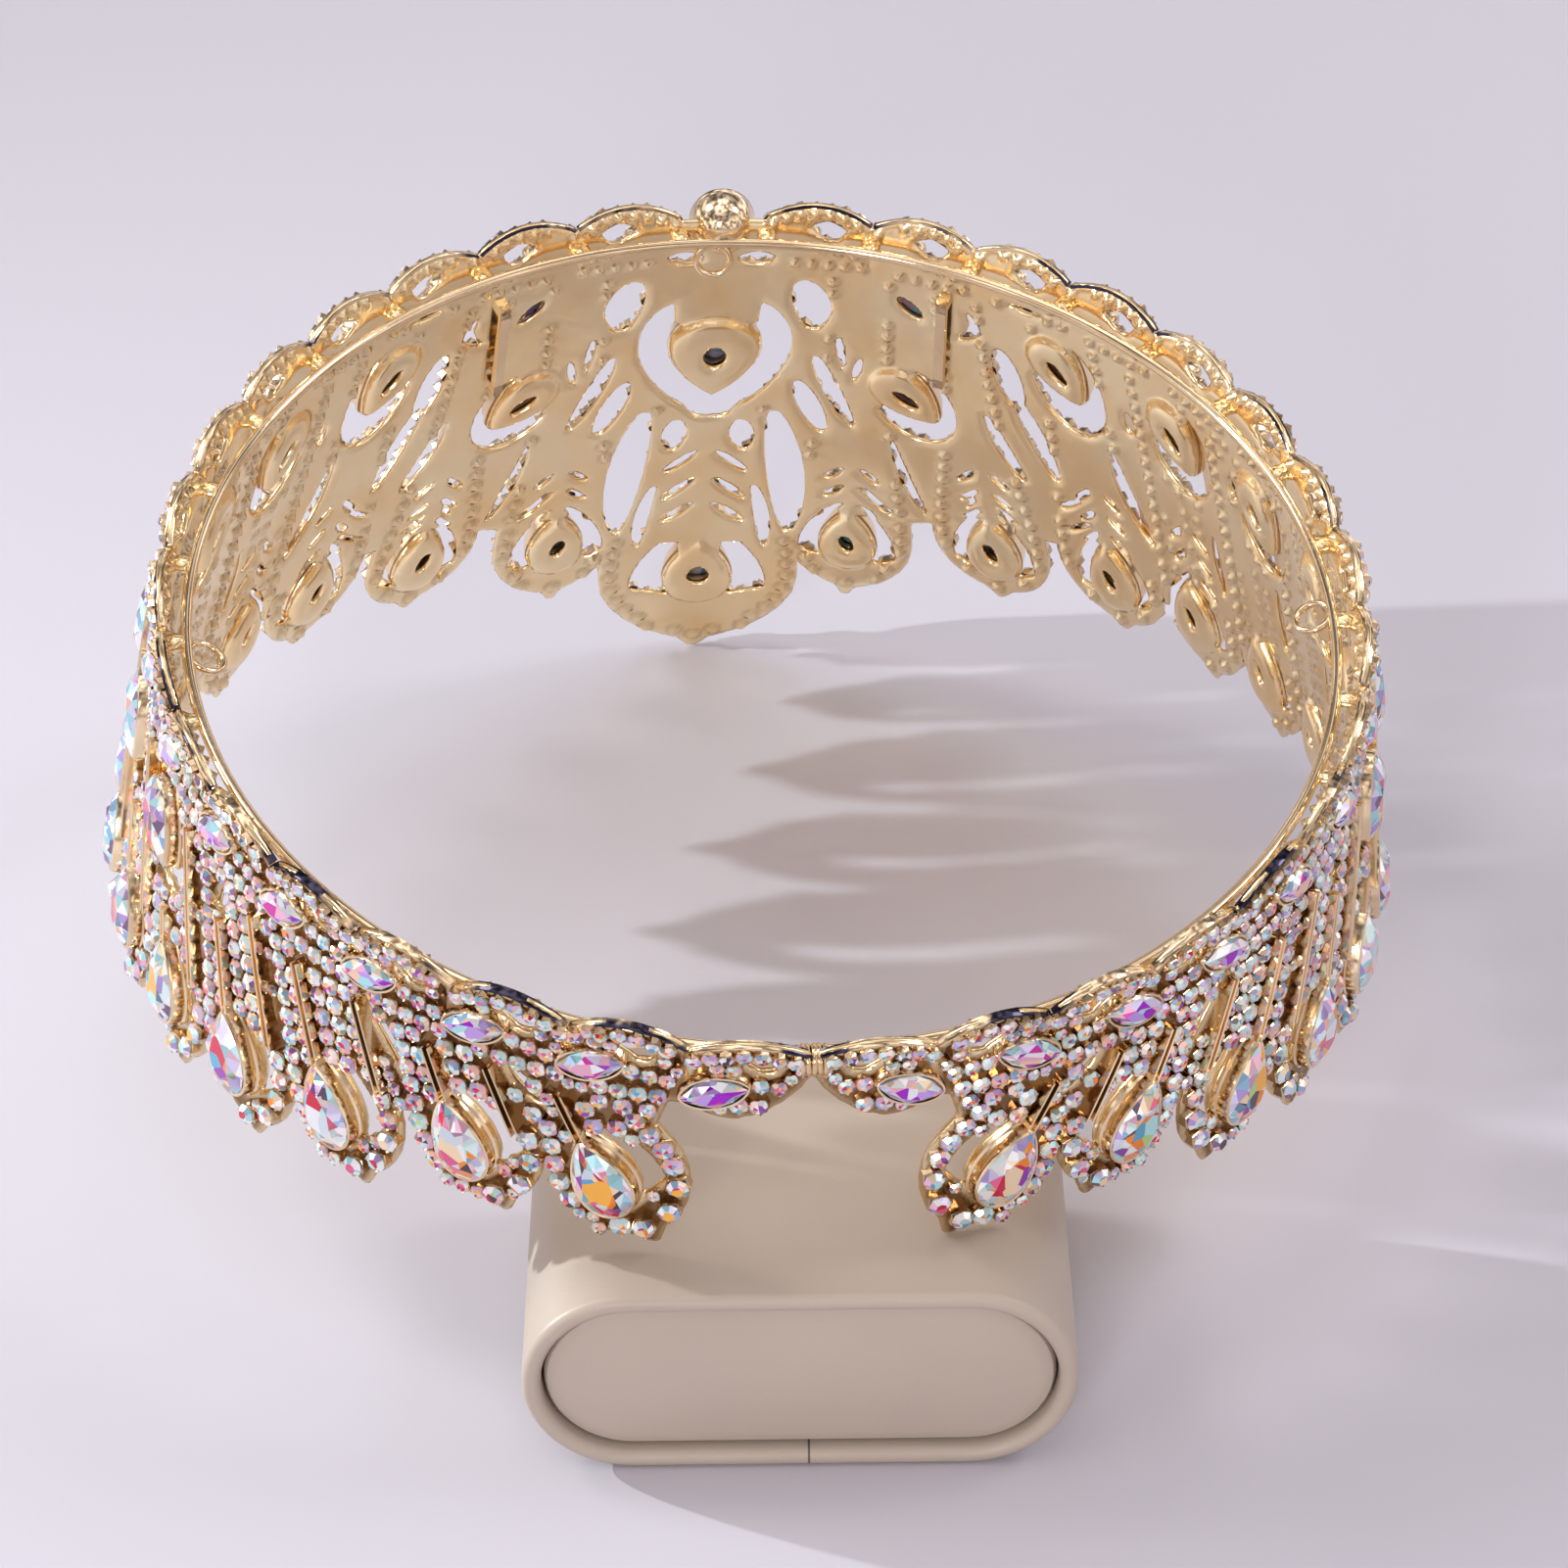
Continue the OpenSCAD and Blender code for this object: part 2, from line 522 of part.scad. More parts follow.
module cut_small(d) {
    n = 8;
    pts = [for (r = [[0.26, 0.35 * d], [0.5, 0.14 * d], [0.42, -0.1 * d]], i = [0:n - 1])
        [r[0] * d * cos(360 * i / n), r[0] * d * sin(360 * i / n), r[1]]];
    polyhedron(pts, concat(
        [[for (i = [n - 1:-1:0]) i]],
        [for (v = [0, 1], i = [0:n - 1]) [v * n + i, v * n + (i + 1) % n, v * n + n + (i + 1) % n, v * n + n + i]],
        [[for (i = [0:n - 1]) 2 * n + i]]
    ));
}

// Stand: a sleeve with round sides lying flat, and a core set back in its ends.
module stadium(w, h) hull() for (x = [-1, 1]) translate([x * (w - h) / 2, 0]) circle(d = h, $fn = 64);
module lying(from, to) translate([stand_x - middle_x, -stand_y - middle_y + to, stand_h / 2])
    rotate([90, 0, 0]) linear_extrude(to - from) children();
module stand_sleeve() color("#bcad9d") lying(0, stand_d) difference() {
    stadium(stand_w, stand_h);
    stadium(stand_w - 2 * sleeve_t, stand_h - 2 * sleeve_t);
}
module stand_core() color("#b5a696") lying(core_inset, stand_d - core_inset)
    stadium(stand_w - 2 * (sleeve_t + core_gap), stand_h - 2 * (sleeve_t + core_gap));

crown_pose() crown_frame();
crown_pose() heart_stone();
crown_pose() round_stone();
crown_pose() eye_pear(0, 0);  // eye_pear_front
for (i = [0, 1]) {
    side = SIDES[i];
    for (k = [1:side_count]) crown_pose() eye_pear(k, 1 - i);
    for (k = [1:upper_count]) crown_pose() upper_pear(k, 1 - i);
    crown_pose() marquises(1 - i);
    crown_pose() rhinestones(1 - i);
}
stand_sleeve();
stand_core();
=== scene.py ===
import math
import random
from collections import namedtuple

import bpy
import numpy as np
from mathutils import Matrix, Vector


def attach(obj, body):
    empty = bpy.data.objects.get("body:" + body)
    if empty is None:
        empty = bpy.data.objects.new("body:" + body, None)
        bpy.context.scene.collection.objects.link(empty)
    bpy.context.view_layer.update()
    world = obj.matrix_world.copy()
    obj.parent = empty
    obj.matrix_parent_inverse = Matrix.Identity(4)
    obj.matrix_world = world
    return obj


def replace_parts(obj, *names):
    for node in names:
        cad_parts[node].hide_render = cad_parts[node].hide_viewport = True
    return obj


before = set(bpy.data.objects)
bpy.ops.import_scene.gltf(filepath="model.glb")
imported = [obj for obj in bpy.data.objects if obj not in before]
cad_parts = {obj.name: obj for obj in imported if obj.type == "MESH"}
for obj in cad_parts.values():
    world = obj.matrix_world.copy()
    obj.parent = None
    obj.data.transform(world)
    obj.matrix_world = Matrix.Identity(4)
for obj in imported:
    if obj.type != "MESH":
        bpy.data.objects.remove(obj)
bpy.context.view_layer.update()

# Studio: a pale seamless floor in a bright room. Three soft lights stand round the crown, a small low
# one throws its feathers' shadows on the floor, and light and dark panels of the room show in the gold.
MM = 0.001
# The middle of the crown's base wire, in millimetres.
CROWN_CENTRE = np.array([3.01, -14.25, 74.22])


def deselect():
    bpy.ops.object.select_all(action="DESELECT")


def new_material(name):
    material = bpy.data.materials.new(name)
    material.use_nodes = True
    tree = material.node_tree
    shader = tree.nodes["Principled BSDF"]
    return material, tree, shader


def add_node(tree, kind, inputs=(), **settings):
    node = tree.nodes.new(kind)
    for key, value in settings.items():
        setattr(node, key, value)
    for key, value in dict(inputs).items():
        if isinstance(value, bpy.types.NodeSocket):
            tree.links.new(value, node.inputs[key])
        else:
            node.inputs[key].default_value = value
    return node


def ramp(tree, factor, stops):
    node = add_node(tree, "ShaderNodeValToRGB", {"Fac": factor})
    elements = node.color_ramp.elements
    while len(elements) < len(stops):
        elements.new(0.5)
    for element, (place, colour) in zip(elements, stops):
        element.position = place
        element.color = (*colour, 1)
    return node.outputs["Color"]


FRAME_PIXELS, FOCAL_PIXELS = 1601, 5000
LOOK_DOWN, CAMERA_ROLL, FROM_CROWN = 34, -0.7, (2.29, -542.5, 339.1)
camera_data = bpy.data.cameras.new("camera")
camera_data.sensor_width = 36
camera_data.lens = camera_data.sensor_width * FOCAL_PIXELS / FRAME_PIXELS
camera_data.clip_start = 0.05
camera_data.clip_end = 20
camera = bpy.data.objects.new("camera", camera_data)
bpy.context.scene.collection.objects.link(camera)
elevation, roll = math.radians(LOOK_DOWN), math.radians(CAMERA_ROLL)
forward = Vector((0, math.cos(elevation), -math.sin(elevation)))
level = Vector((1, 0, 0))
upright = level.cross(forward)
right = level * math.cos(roll) + upright * math.sin(roll)
up = upright * math.cos(roll) - level * math.sin(roll)
place = (Vector(CROWN_CENTRE) + Vector(FROM_CROWN)) * MM
camera.matrix_world = Matrix.Translation(place) @ Matrix((right, up, -forward)).transposed().to_4x4()
bpy.context.scene.camera = camera
bpy.context.scene.view_settings.view_transform = "Standard"

FLOOR_COLOUR = (0.55, 0.528, 0.592, 1)
deselect()
bpy.ops.mesh.primitive_plane_add(size=6, location=(0, 0, -0.00005))
floor = bpy.context.object
floor.name = "floor"
floor_paint, tree, shader = new_material("floor_paint")
shader.inputs["Base Color"].default_value = FLOOR_COLOUR
shader.inputs["Roughness"].default_value = 0.6
floor.data.materials.append(floor_paint)

AIM = Vector((0, 0, 0.04))
for name, spot, size, power, tone in (
    ("low_light", (-0.325, 0.03, 0.136), 0.008, 9, (0.90, 0.98, 1.0)),
    ("left_softbox", (-0.75, 0.25, 0.85), 0.35, 2.9, (1.0, 0.97, 0.94)),
    ("right_softbox", (0.8, 0.1, 0.85), 0.35, 2.2, (0.95, 0.97, 1.0)),
    ("front_softbox", (-0.3, -1.15, 0.5), 0.25, 4.6, (1.0, 0.98, 0.96)),
):
    light_data = bpy.data.lights.new(name, "AREA")
    light_data.shape = "DISK"
    light_data.size = size
    light_data.energy = power
    light_data.color = tone
    light = bpy.data.objects.new(name, light_data)
    light.location = spot
    light.rotation_euler = (AIM - Vector(spot)).to_track_quat("-Z", "Y").to_euler()
    bpy.context.scene.collection.objects.link(light)
    if name == "low_light":
        light_data.use_nodes = True
        tree = light_data.node_tree
        even = add_node(tree, "ShaderNodeLightFalloff", {"Strength": 1.0})
        tree.links.new(even.outputs["Constant"], tree.nodes["Emission"].inputs["Strength"])

ROOM_BY_HEIGHT = [
    (0.0, (0.46, 0.43, 0.45)), (0.12, (0.62, 0.58, 0.58)), (0.42, (0.64, 0.60, 0.59)),
    (0.58, (0.30, 0.28, 0.29)), (0.72, (0.15, 0.14, 0.15)), (0.86, (0.58, 0.55, 0.56)),
    (1.0, (1.0, 0.95, 0.95))]
ROOM_PANELS = [(0.36, (0.22, 0.20, 0.20)), (0.48, (0.80, 0.80, 0.80)), (0.60, (2.3, 2.3, 2.3))]
room = bpy.data.worlds.new("room")
bpy.context.scene.world = room
room.use_nodes = True
tree = room.node_tree
view = add_node(tree, "ShaderNodeTexCoord")
height = add_node(tree, "ShaderNodeSeparateXYZ", {"Vector": view.outputs["Generated"]})
walls = ramp(tree, height.outputs["Z"], ROOM_BY_HEIGHT)
spread = add_node(tree, "ShaderNodeTexNoise", {
    "Vector": view.outputs["Generated"], "Scale": 4.5, "Detail": 1})
panels = ramp(tree, spread.outputs["Fac"], ROOM_PANELS)
lit = add_node(tree, "ShaderNodeVectorMath", {0: walls, 1: panels}, operation="MULTIPLY")
tree.links.new(lit.outputs["Vector"], tree.nodes["Background"].inputs["Color"])
tree.nodes["Background"].inputs["Strength"].default_value = 1.17

# Cast wall: light gold-plated alloy, cast flat in openwork panels and bent round. It is worked
# out flat here: x runs round the crown from its front, y down from the base wire, in millimetres.
WALL_R, WALL_T, LEAN, FLARE, BEND_H = 77.6, 1.5, 8.5, 10.0, 1.6
SIDES = (("right", False), ("left", True))
PER_DEG = 85 * math.pi / 180
FRONT_GAP, LEAVES, NOTCH_H, CREST_H, BACK_RISE, BORDER_DEPTH = 4.6, 16, 2.7, 2.4, 1.2, 6.5
LEAF_DEG = (180 - FRONT_GAP) / LEAVES
PEAR, FRONT_PEAR, PEAR_PEAK, BEZEL_T = (7, 11.6), (8.6, 13.4), 0.8214, 0.9
HEART_W, HEART_DEPTH, ROUND_D, ROUND_DEPTH = 12.4, 26.5, 8.0, -0.3
MARQUISE, MARQUISE_DEPTH, MARQUISE_STEP, MARQUISE_TURN = (4.4, 8.6), 1.8, 2.4, 106

Feather = namedtuple("Feather", "angle tip slant width stem cap eye room rib")
FEATHERS = [Feather(*row) for row in (
    (0, 97, 0, 29.6, 8.8, 19, 19.3, 5.8, 44), (14.8, 81, 0, 19.6, 6, 14, 13.6, 3.8, 43),
    (31, 71.5, 8, 19, 5, 12, 10.9, 3.2, 18), (45.4, 64.6, 12, 19.6, 7, 12, 10.9, 3.3, 29),
    (57.8, 60.2, 13, 17.6, 7.4, 12, 11.2, 2.8, 26), (69.2, 57, 14, 17, 7.6, 12, 11.2, 3.4, 21),
    (80.6, 54.4, 15, 17, 7.6, 12, 11.4, 3.4, 8), (92, 51.6, 15, 17, 7.6, 12, 11.6, 3.4, 8),
    (103.4, 48.6, 16, 17.2, 7.6, 12, 11.8, 3.6, 23), (115, 45.6, 17, 17.6, 7.8, 12, 12, 3.8, 25),
    (127.2, 42.2, 19, 18.6, 8, 12, 12, 4, 13.5), (140.2, 36.8, 24, 19, 8, 12, 12, 4.2, 8),
    (154, 30.4, 26, 19, 8, 12, 12.2, 4.2, 8), (167.4, 29.6, 29, 19, 6.5, 12, 12.6, 4, 8))]
Upper = namedtuple("Upper", "angle depth turn reach")
UPPERS = [Upper(*row) for row in (
    (20.2, 31.2, 50, 10.2), (37, 14.6, 40, 12.4), (52, 14.6, 38, 10.4), (65.4, 14.6, 38, 10),
    (78.6, 14.2, 38, 10), (92, 13.8, 40, 10), (106, 13.4, 42, 10))]
Slot = namedtuple("Slot", "angle1 depth1 angle2 depth2 wide bend")
SLOTS = [Slot(*row) for row in (
    (1.8, 5.4, 5.6, 5, 2.4, 0), (8.6, 9.4, 10.2, 20, 6, 0.6), (12.7, 21, 13.4, 28, 1.4, 0),
    (15.2, 25, 14.5, 30.2, 1.3, 0), (10.3, 25.4, 14.7, 40.8, 2.9, -0.3), (8.6, 31.6, 11.7, 43, 3.7, 0),
    (6.5, 38.4, 8.7, 67.8, 5.8, 0.8), (3.2, 41.2, 3.7, 48.4, 3.8, 0), (0.8, 48.6, 4.4, 53.6, 1.6, 0),
    (0.8, 55, 4.4, 60.2, 1.6, 0), (0.8, 61, 4.4, 65.6, 1.6, 0), (5, 56.4, 6.4, 71.6, 2.4, 0.5),
    (16.2, 54.6, 19.6, 59.6, 1.6, -0.6), (18.7, 42, 22.8, 58, 1.8, -0.7), (26, 9.8, 25.2, 16, 2, 2.2),
    (30.6, 5.2, 34.8, 5.2, 0.9, 0), (29.6, 15.4, 32.4, 27, 4.6, 0), (31.6, 24, 37.2, 39.4, 3.4, 0),
    (28.6, 30.6, 33.4, 42.4, 2.6, -0.6), (27.9, 50.6, 26.8, 53.4, 0.9, 0), (29.6, 50.4, 32.8, 53, 0.9, 0),
    (39.8, 41, 37.2, 44.8, 1.1, 0), (41.2, 45, 38, 49, 1.1, 0), (45.2, 16.4, 45.9, 20.2, 2, 0),
    (43, 26.2, 49.2, 41.6, 3, -1), (60, 13.8, 61.2, 17, 1.8, 0), (118.4, 9.8, 117.2, 14.6, 1.8, 0),
    (137, 6.8, 143.2, 15.6, 1.5, 0.6), (146.4, 9, 147.2, 14, 1.1, 0), (152.6, 6.6, 157, 11, 1.4, -0.4))]


def sin(a):
    return np.sin(np.radians(a))


def cos(a):
    return np.cos(np.radians(a))


def turned(points, angle):
    x, y = np.asarray(points, float).T
    return np.stack([x * cos(angle) + y * sin(angle), y * cos(angle) - x * sin(angle)], -1)


def pear_outline(width, length, count=32):
    u = np.arange(count) * 360 / count
    half = np.where(u > 180, 360 - u, u)
    return np.stack([np.where(u > 180, -1, 1) * width / 2 * sin(half) * sin(half / 2) ** 0.7 / PEAR_PEAK,
                     -length / 2 * cos(u)], -1)


def feather_length(f):
    return f.tip / cos(f.slant)


def widest(f):
    return feather_length(f) - f.cap


def feather_point(f, across, along):
    return np.array([f.angle * PER_DEG, f.tip]) + turned([(across, along - feather_length(f))], f.slant)[0]


def half_width(f, along):
    e, c = widest(f), f.cap - 1.6
    if along <= e:
        s = (along / e) ** 2
        return f.stem + (f.width / 2 - f.stem) * (3 * s * s - 2 * s ** 3)
    return f.width / 2 * max(0, 1 - ((along - e) / c) ** 2) ** (0.66 if f.cap > 12 else 0.5)


def feather_edge(f, side, inset=0.0):
    start = 38 if f.angle == 0 else 5
    e, c = widest(f), f.cap - 1.6
    rows = [start + s / 8 * (e - start) for s in range(9)]
    rows += [e + c * sin(a) for a in (14, 28, 40, 50, 60, 68, 76)]
    return [feather_point(f, side * max(0, half_width(f, l) - inset), l - inset * max(0, (l - e) / c))
            for l in rows]


def feather_outline(f):
    tip = [feather_point(f, 0.5, feather_length(f)), feather_point(f, -0.5, feather_length(f))]
    return np.array(feather_edge(f, 1) + tip + feather_edge(f, -1)[::-1])


def pear_size(f):
    return FRONT_PEAR if f.angle == 0 else PEAR


def pear_shift(f):
    return -1.8 if f.slant > 12.5 else 0


def pear_at(f):
    return feather_point(f, pear_shift(f), feather_length(f) - f.eye)


def pear_grown(size, at, slant, more, count=32):
    return at + turned(pear_outline(size[0] + 2 * more, size[1] + 2 * more, count), slant)


def upper_at(u):
    return np.array([u.angle * PER_DEG, u.depth])


def pear_bezel(f):
    return pear_grown(pear_size(f), pear_at(f), f.slant, BEZEL_T)


def upper_bezel(u):
    return pear_grown(PEAR, upper_at(u), u.turn + 180, BEZEL_T)


def upper_oval(u, more):
    length, width, t = u.reach + 6 + 2 * more, 12.4 + 2 * more, np.arange(32) * 360 / 32
    middle = upper_at(u) + turned([(0, u.reach - (u.reach + 6) / 2)], u.turn * 0.65)[0]
    return middle + turned(np.stack([width / 2 * sin(t), length / 2 * cos(t)], -1), u.turn * 0.65)


def slot_outline(w):
    p, q = np.array([w.angle1 * PER_DEG, w.depth1]), np.array([w.angle2 * PER_DEG, w.depth2])
    d = (q - p) / np.linalg.norm(q - p)
    n = np.array([d[1], -d[0]])
    there = [0.02, 0.1, 0.2, 0.35, 0.5, 0.65, 0.8, 0.9, 0.98]

    def edge(s, way):
        return p + (q - p) * s + n * (w.bend * sin(180 * s) + way * w.wide / 2 * sin(180 * s) ** 0.5)

    return np.array([edge(s, 1) for s in there] + [edge(s, -1) for s in there[::-1]])


def side_slot(f):
    length = feather_length(f)
    end = length - f.eye - 8
    p, q = feather_point(f, 6.4, end - 0.18 * length), feather_point(f, 7, end)
    return Slot(p[0] / PER_DEG, p[1], q[0] / PER_DEG, q[1], 1.8, -0.4)


def barbs(f):
    """Slits beside the rib of a front feather, slanting out and down like the barbs of a plume."""
    last = feather_length(f) - f.eye - 8.4
    ends = [[feather_point(f, side * 1.1, l), feather_point(f, side * 4.3, l + 2.9)]
            for side in (-1, 1) for l in (last, last - 4.3, last - 8.6)]
    return [Slot(p[0] / PER_DEG, p[1], q[0] / PER_DEG, q[1], 1.3, 0.25) for p, q in ends]


def rise(k):
    return BACK_RISE if 9 < k < LEAVES - 1 else 0


def crest(k, s):
    return -NOTCH_H - (CREST_H + rise(k)) * max(0, sin(180 * s)) ** 0.8


def leaf_x(k, s):
    """Place round the crown at share s of a leaf's width."""
    return (FRONT_GAP + LEAF_DEG * k + LEAF_DEG * s) * PER_DEG


def leaf_outline(k):
    outline = [(leaf_x(k, s), crest(k, s)) for s in np.linspace(0, 1, 25)]
    if k == LEAVES - 1:
        outline += [(leaf_x(k, s), 1 + 7.4 * max(0, sin(180 * (1 - s) / 1.3)) ** 0.8)
                    for s in (1, 0.9, 0.8, 0.6, 0.4, 0.2)]
    else:
        outline.append((leaf_x(k, 1), BORDER_DEPTH))
    return np.array(outline + [(leaf_x(k, 0), BORDER_DEPTH)])


def leaf_window(k):
    x = (FRONT_GAP + LEAF_DEG * (k + 0.58)) * PER_DEG
    head = [(x + 3 * (2 * s - 1), -1.3 - (1.2 + rise(k)) * sin(180 * s)) for s in np.linspace(0, 1, 9)]
    return np.array(head + [(x + 3 * (2 * s - 1), 0.9 * (1.2 - s)) for s in (0.8, 0.5)])


def heart_band(width, top, point):
    return np.array([(width / 2 * sin(t) * (1 + 0.25 * cos(t)),
                      (top + point) / 2 - (point - top) / 2 * cos(t) + (1.2 if abs(t - 180) < 20 else 0))
                     for t in range(0, 360, 9)])


HEART, HEART_AT = (HEART_W, HEART_W + 2.8), np.array([0, HEART_DEPTH])


def heart_grown(more):
    return pear_grown(HEART, HEART_AT, 180, more)


def signed_distance(points, outline):
    """Distance of each point to an outline's edge, negative inside it."""
    a = np.asarray(outline, float)
    edge = np.roll(a, -1, 0) - a
    away = points[:, None] - a
    share = np.clip((away * edge).sum(2) / np.maximum((edge ** 2).sum(1), 1e-12), 0, 1)
    near = np.sqrt(((away - share[..., None] * edge) ** 2).sum(2).min(1))
    b = a + edge
    x, y = points[:, :1], points[:, 1:]
    rise = np.where(edge[:, 1] == 0, 1e-9, edge[:, 1])
    crossed = ((a[:, 1] <= y) != (b[:, 1] <= y)) & (x < a[:, 0] + (y - a[:, 1]) * edge[:, 0] / rise)
    return np.where(crossed.sum(1) % 2 == 1, -near, near)


# Panel of one side: the flat drawing lies on a fine grid, where its outlines are laid as metal and its
# windows are pierced. Each grid point keeps its distance to the metal's edge, negative in the metal.
STEP = 0.55
columns, rows = int(round(180 * PER_DEG / STEP)) + 1, 190
grid_x = np.linspace(0, 180 * PER_DEG, columns)
grid_y = -5.8 + STEP * np.arange(rows)
flat = np.stack(np.meshgrid(grid_x, grid_y, indexing="ij"), -1).reshape(-1, 2)
metal = np.full(len(flat), 9.0)


def close_to(outline, margin=3.0):
    low, high = np.min(outline, 0) - margin, np.max(outline, 0) + margin
    return np.nonzero(((flat >= low) & (flat <= high)).all(1))[0]


def lay_metal(outline):
    here = close_to(outline)
    metal[here] = np.minimum(metal[here], signed_distance(flat[here], outline))


def pierce(inside, *outside):
    here = close_to(inside[0])
    depth = np.max([signed_distance(flat[here], o) for o in inside]
                   + [-signed_distance(flat[here], o) for o in outside], 0)
    metal[here] = np.maximum(metal[here], -depth)


lay_metal([(7, 4), (168 * PER_DEG, 4)]
          + [(f.angle * PER_DEG - 3, f.tip - (13 if k > 2 else 15.5))
             for k, f in reversed(list(enumerate(FEATHERS))) if k > 0]
          + [(9.6 * PER_DEG, 70), (7, 70)])
for f in FEATHERS:
    lay_metal(feather_outline(f))
for k in range(LEAVES):
    lay_metal(leaf_outline(k))
for u in UPPERS:
    lay_metal(upper_oval(u, 2.6))
lay_metal([(-8, -2), (8, -2), (12.5, 4), (12.5, 9), (-12.5, 9), (-12.5, 4)])
lay_metal(heart_band(29.5, 7, 44))

for k, f in enumerate(FEATHERS):
    wide, half = pear_size(f)[0] / 2 + f.room + 3, pear_size(f)[1] / 2
    start = 3.4 if f.angle == 0 else 0.9
    for s in (-1, 1) if k < 5 else (1,):
        corner = pear_at(f) + turned([(s * start, -half - 0.3), (s * wide, -half - 0.3),
                                      (s * wide, half - 3.5), (s * 0.9, half + 0.3)], f.slant)
        pierce([pear_grown(pear_size(f), pear_at(f), f.slant, f.room), corner], pear_bezel(f))
for u in UPPERS:
    corner = upper_at(u) + turned([(-8, 0), (8, -3), (8, 14), (-8, 14)], u.turn)
    pierce([upper_oval(u, 0), corner], upper_bezel(u))
for k in range(LEAVES):
    pierce([leaf_window(k)])
barb_slots = [b for f in FEATHERS[1:5] for b in barbs(f)]
for w in SLOTS + [side_slot(FEATHERS[k]) for k in range(4, 11)] + barb_slots:
    pierce([slot_outline(w)])
pierce([heart_band(23, 13, 39.6)],
       pear_grown((HEART_W + 0.4, HEART_W + 3.2), HEART_AT, 180, BEZEL_T),
       [(-8, 0), (8, 0), (6.4, 19.5), (-6.4, 19.5)])
openwork = metal.copy()


def ellipse(at, width, length, turn, count=20):
    t = np.arange(count) * 360 / count
    return np.asarray(at) + turned(np.stack([width / 2 * sin(t), length / 2 * cos(t)], -1), turn)


FRONT_HOLE, PEAR_HOLE, UPPER_HOLE = (3.2, 4.4), (2.2, 4), (2.1, 5)
HEART_HOLE, MARQUISE_HOLE, SIDE_MARQUISE = (3.4, 4.6), (2, 5.4), (20 * PER_DEG, 13, 50)
for f in FEATHERS:
    pierce([ellipse(pear_at(f), *(FRONT_HOLE if f.angle == 0 else PEAR_HOLE), f.slant + 14)])
for u in UPPERS:
    pierce([ellipse(upper_at(u), *UPPER_HOLE, u.turn + 8)])
pierce([ellipse((0, HEART_DEPTH - 0.6), *HEART_HOLE, 0)])
pierce([ellipse((SIDE_MARQUISE[0], SIDE_MARQUISE[1] - 1), *MARQUISE_HOLE, SIDE_MARQUISE[2])])


def wall_at(x, y, out):
    """World place, in millimetres, of points of the flat drawing, out millimetres off the wall's middle."""
    x, y, out = (np.asarray(v, float) for v in (x, y, out))
    blend = 0.5 + 0.5 * np.tanh(y / BEND_H)
    tilt = -FLARE + (LEAN + FLARE) * blend
    radius = WALL_R + np.where(y > 0, y * sin(LEAN), -y * sin(FLARE)) + out * cos(tilt)
    low = -np.where(y > 0, y * cos(LEAN), y * cos(FLARE)) + out * sin(tilt)
    angle = x / PER_DEG
    return to_world(np.stack([radius * sin(angle), radius * cos(angle), low], -1))


TURNED, SIDEWAYS, FORWARDS = 4.6, 2.5, 12.4
pose = np.array(Matrix.Rotation(math.radians(TURNED), 3, "Z")
                @ Matrix.Rotation(math.radians(SIDEWAYS), 3, "Y")
                @ Matrix.Rotation(math.radians(FORWARDS), 3, "X"))


def to_world(points):
    return np.asarray(points) @ pose.T + CROWN_CENTRE


def mesh_piece(name, points, faces, material, smooth=True):
    """A finished piece from points in millimetres, which rides on the crown."""
    mesh = bpy.data.meshes.new(name)
    mesh.from_pydata((np.asarray(points) * MM).tolist(), [], [list(map(int, face)) for face in faces])
    mesh.validate()
    mesh.polygons.foreach_set("use_smooth", [smooth] * len(mesh.polygons))
    piece = bpy.data.objects.new(name, mesh)
    bpy.context.scene.collection.objects.link(piece)
    mesh.materials.append(material)
    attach(piece, "root")
    return piece


def gold(name, colour, shade, roughness, grain, bump, painted_shade=None):
    """Gold plate: its colour wanders a little, fine casting grain breaks its gloss, and a painted shade
    colour is mixed in where the painted_shade attribute says.
    """
    material, tree, shader = new_material(name)
    place = add_node(tree, "ShaderNodeTexCoord").outputs["Object"]
    wander = add_node(tree, "ShaderNodeTexNoise", {"Vector": place, "Scale": 90, "Detail": 3})
    tone = ramp(tree, wander.outputs["Fac"], [(0.3, shade), (0.65, colour)])
    if painted_shade:
        deep = add_node(tree, "ShaderNodeAttribute", attribute_name="painted_shade").outputs["Fac"]
        tone = add_node(tree, "ShaderNodeMix", {"Factor": deep, "A": tone, "B": (*painted_shade, 1)},
                        data_type="RGBA").outputs["Result"]
    tree.links.new(tone, shader.inputs["Base Color"])
    fine = add_node(tree, "ShaderNodeTexNoise", {"Vector": place, "Scale": grain, "Detail": 2})
    dull_and_shade = add_node(tree, "ShaderNodeMapRange", {
        "Value": fine.outputs["Fac"], "To Min": roughness * 0.8, "To Max": roughness * 1.25})
    tree.links.new(dull_and_shade.outputs["Result"], shader.inputs["Roughness"])
    relief = add_node(tree, "ShaderNodeBump", {
        "Height": fine.outputs["Fac"], "Strength": bump, "Distance": 0.0002})
    tree.links.new(relief.outputs["Normal"], shader.inputs["Normal"])
    shader.inputs["Metallic"].default_value = 1
    return material


# The cast gold's last colour, dark brown, is painted shade, laid between the stones outside and round the
# beads inside.
cast_gold = gold("cast_gold", (1.0, 0.83, 0.53), (0.98, 0.71, 0.38), 0.2, 240, 0.4, (0.26, 0.15, 0.07))
bright_gold = gold("bright_gold", (0.95, 0.76, 0.51), (0.78, 0.58, 0.35), 0.12, 500, 0.15)


# Seats of the small stones, in the order they are set: along the rows first, then in what is left
# of the face. A seat is x, y and the stone's diameter, clear of edges, ridges and big stones.
TIP_D, SMALL_D, CLEAR = 2.9, 1.8, 0.3
FIN_HALF, FIN_CLEAR = 0.75, 0.25
PACE, METAL_LEFT, SEAM_LEFT = 0.2, 0.22, 0.06
room_left = openwork.copy()


def keep_off(outline, more=0.0):
    here = close_to(outline)
    room_left[here] = np.maximum(room_left[here], more - signed_distance(flat[here], outline))


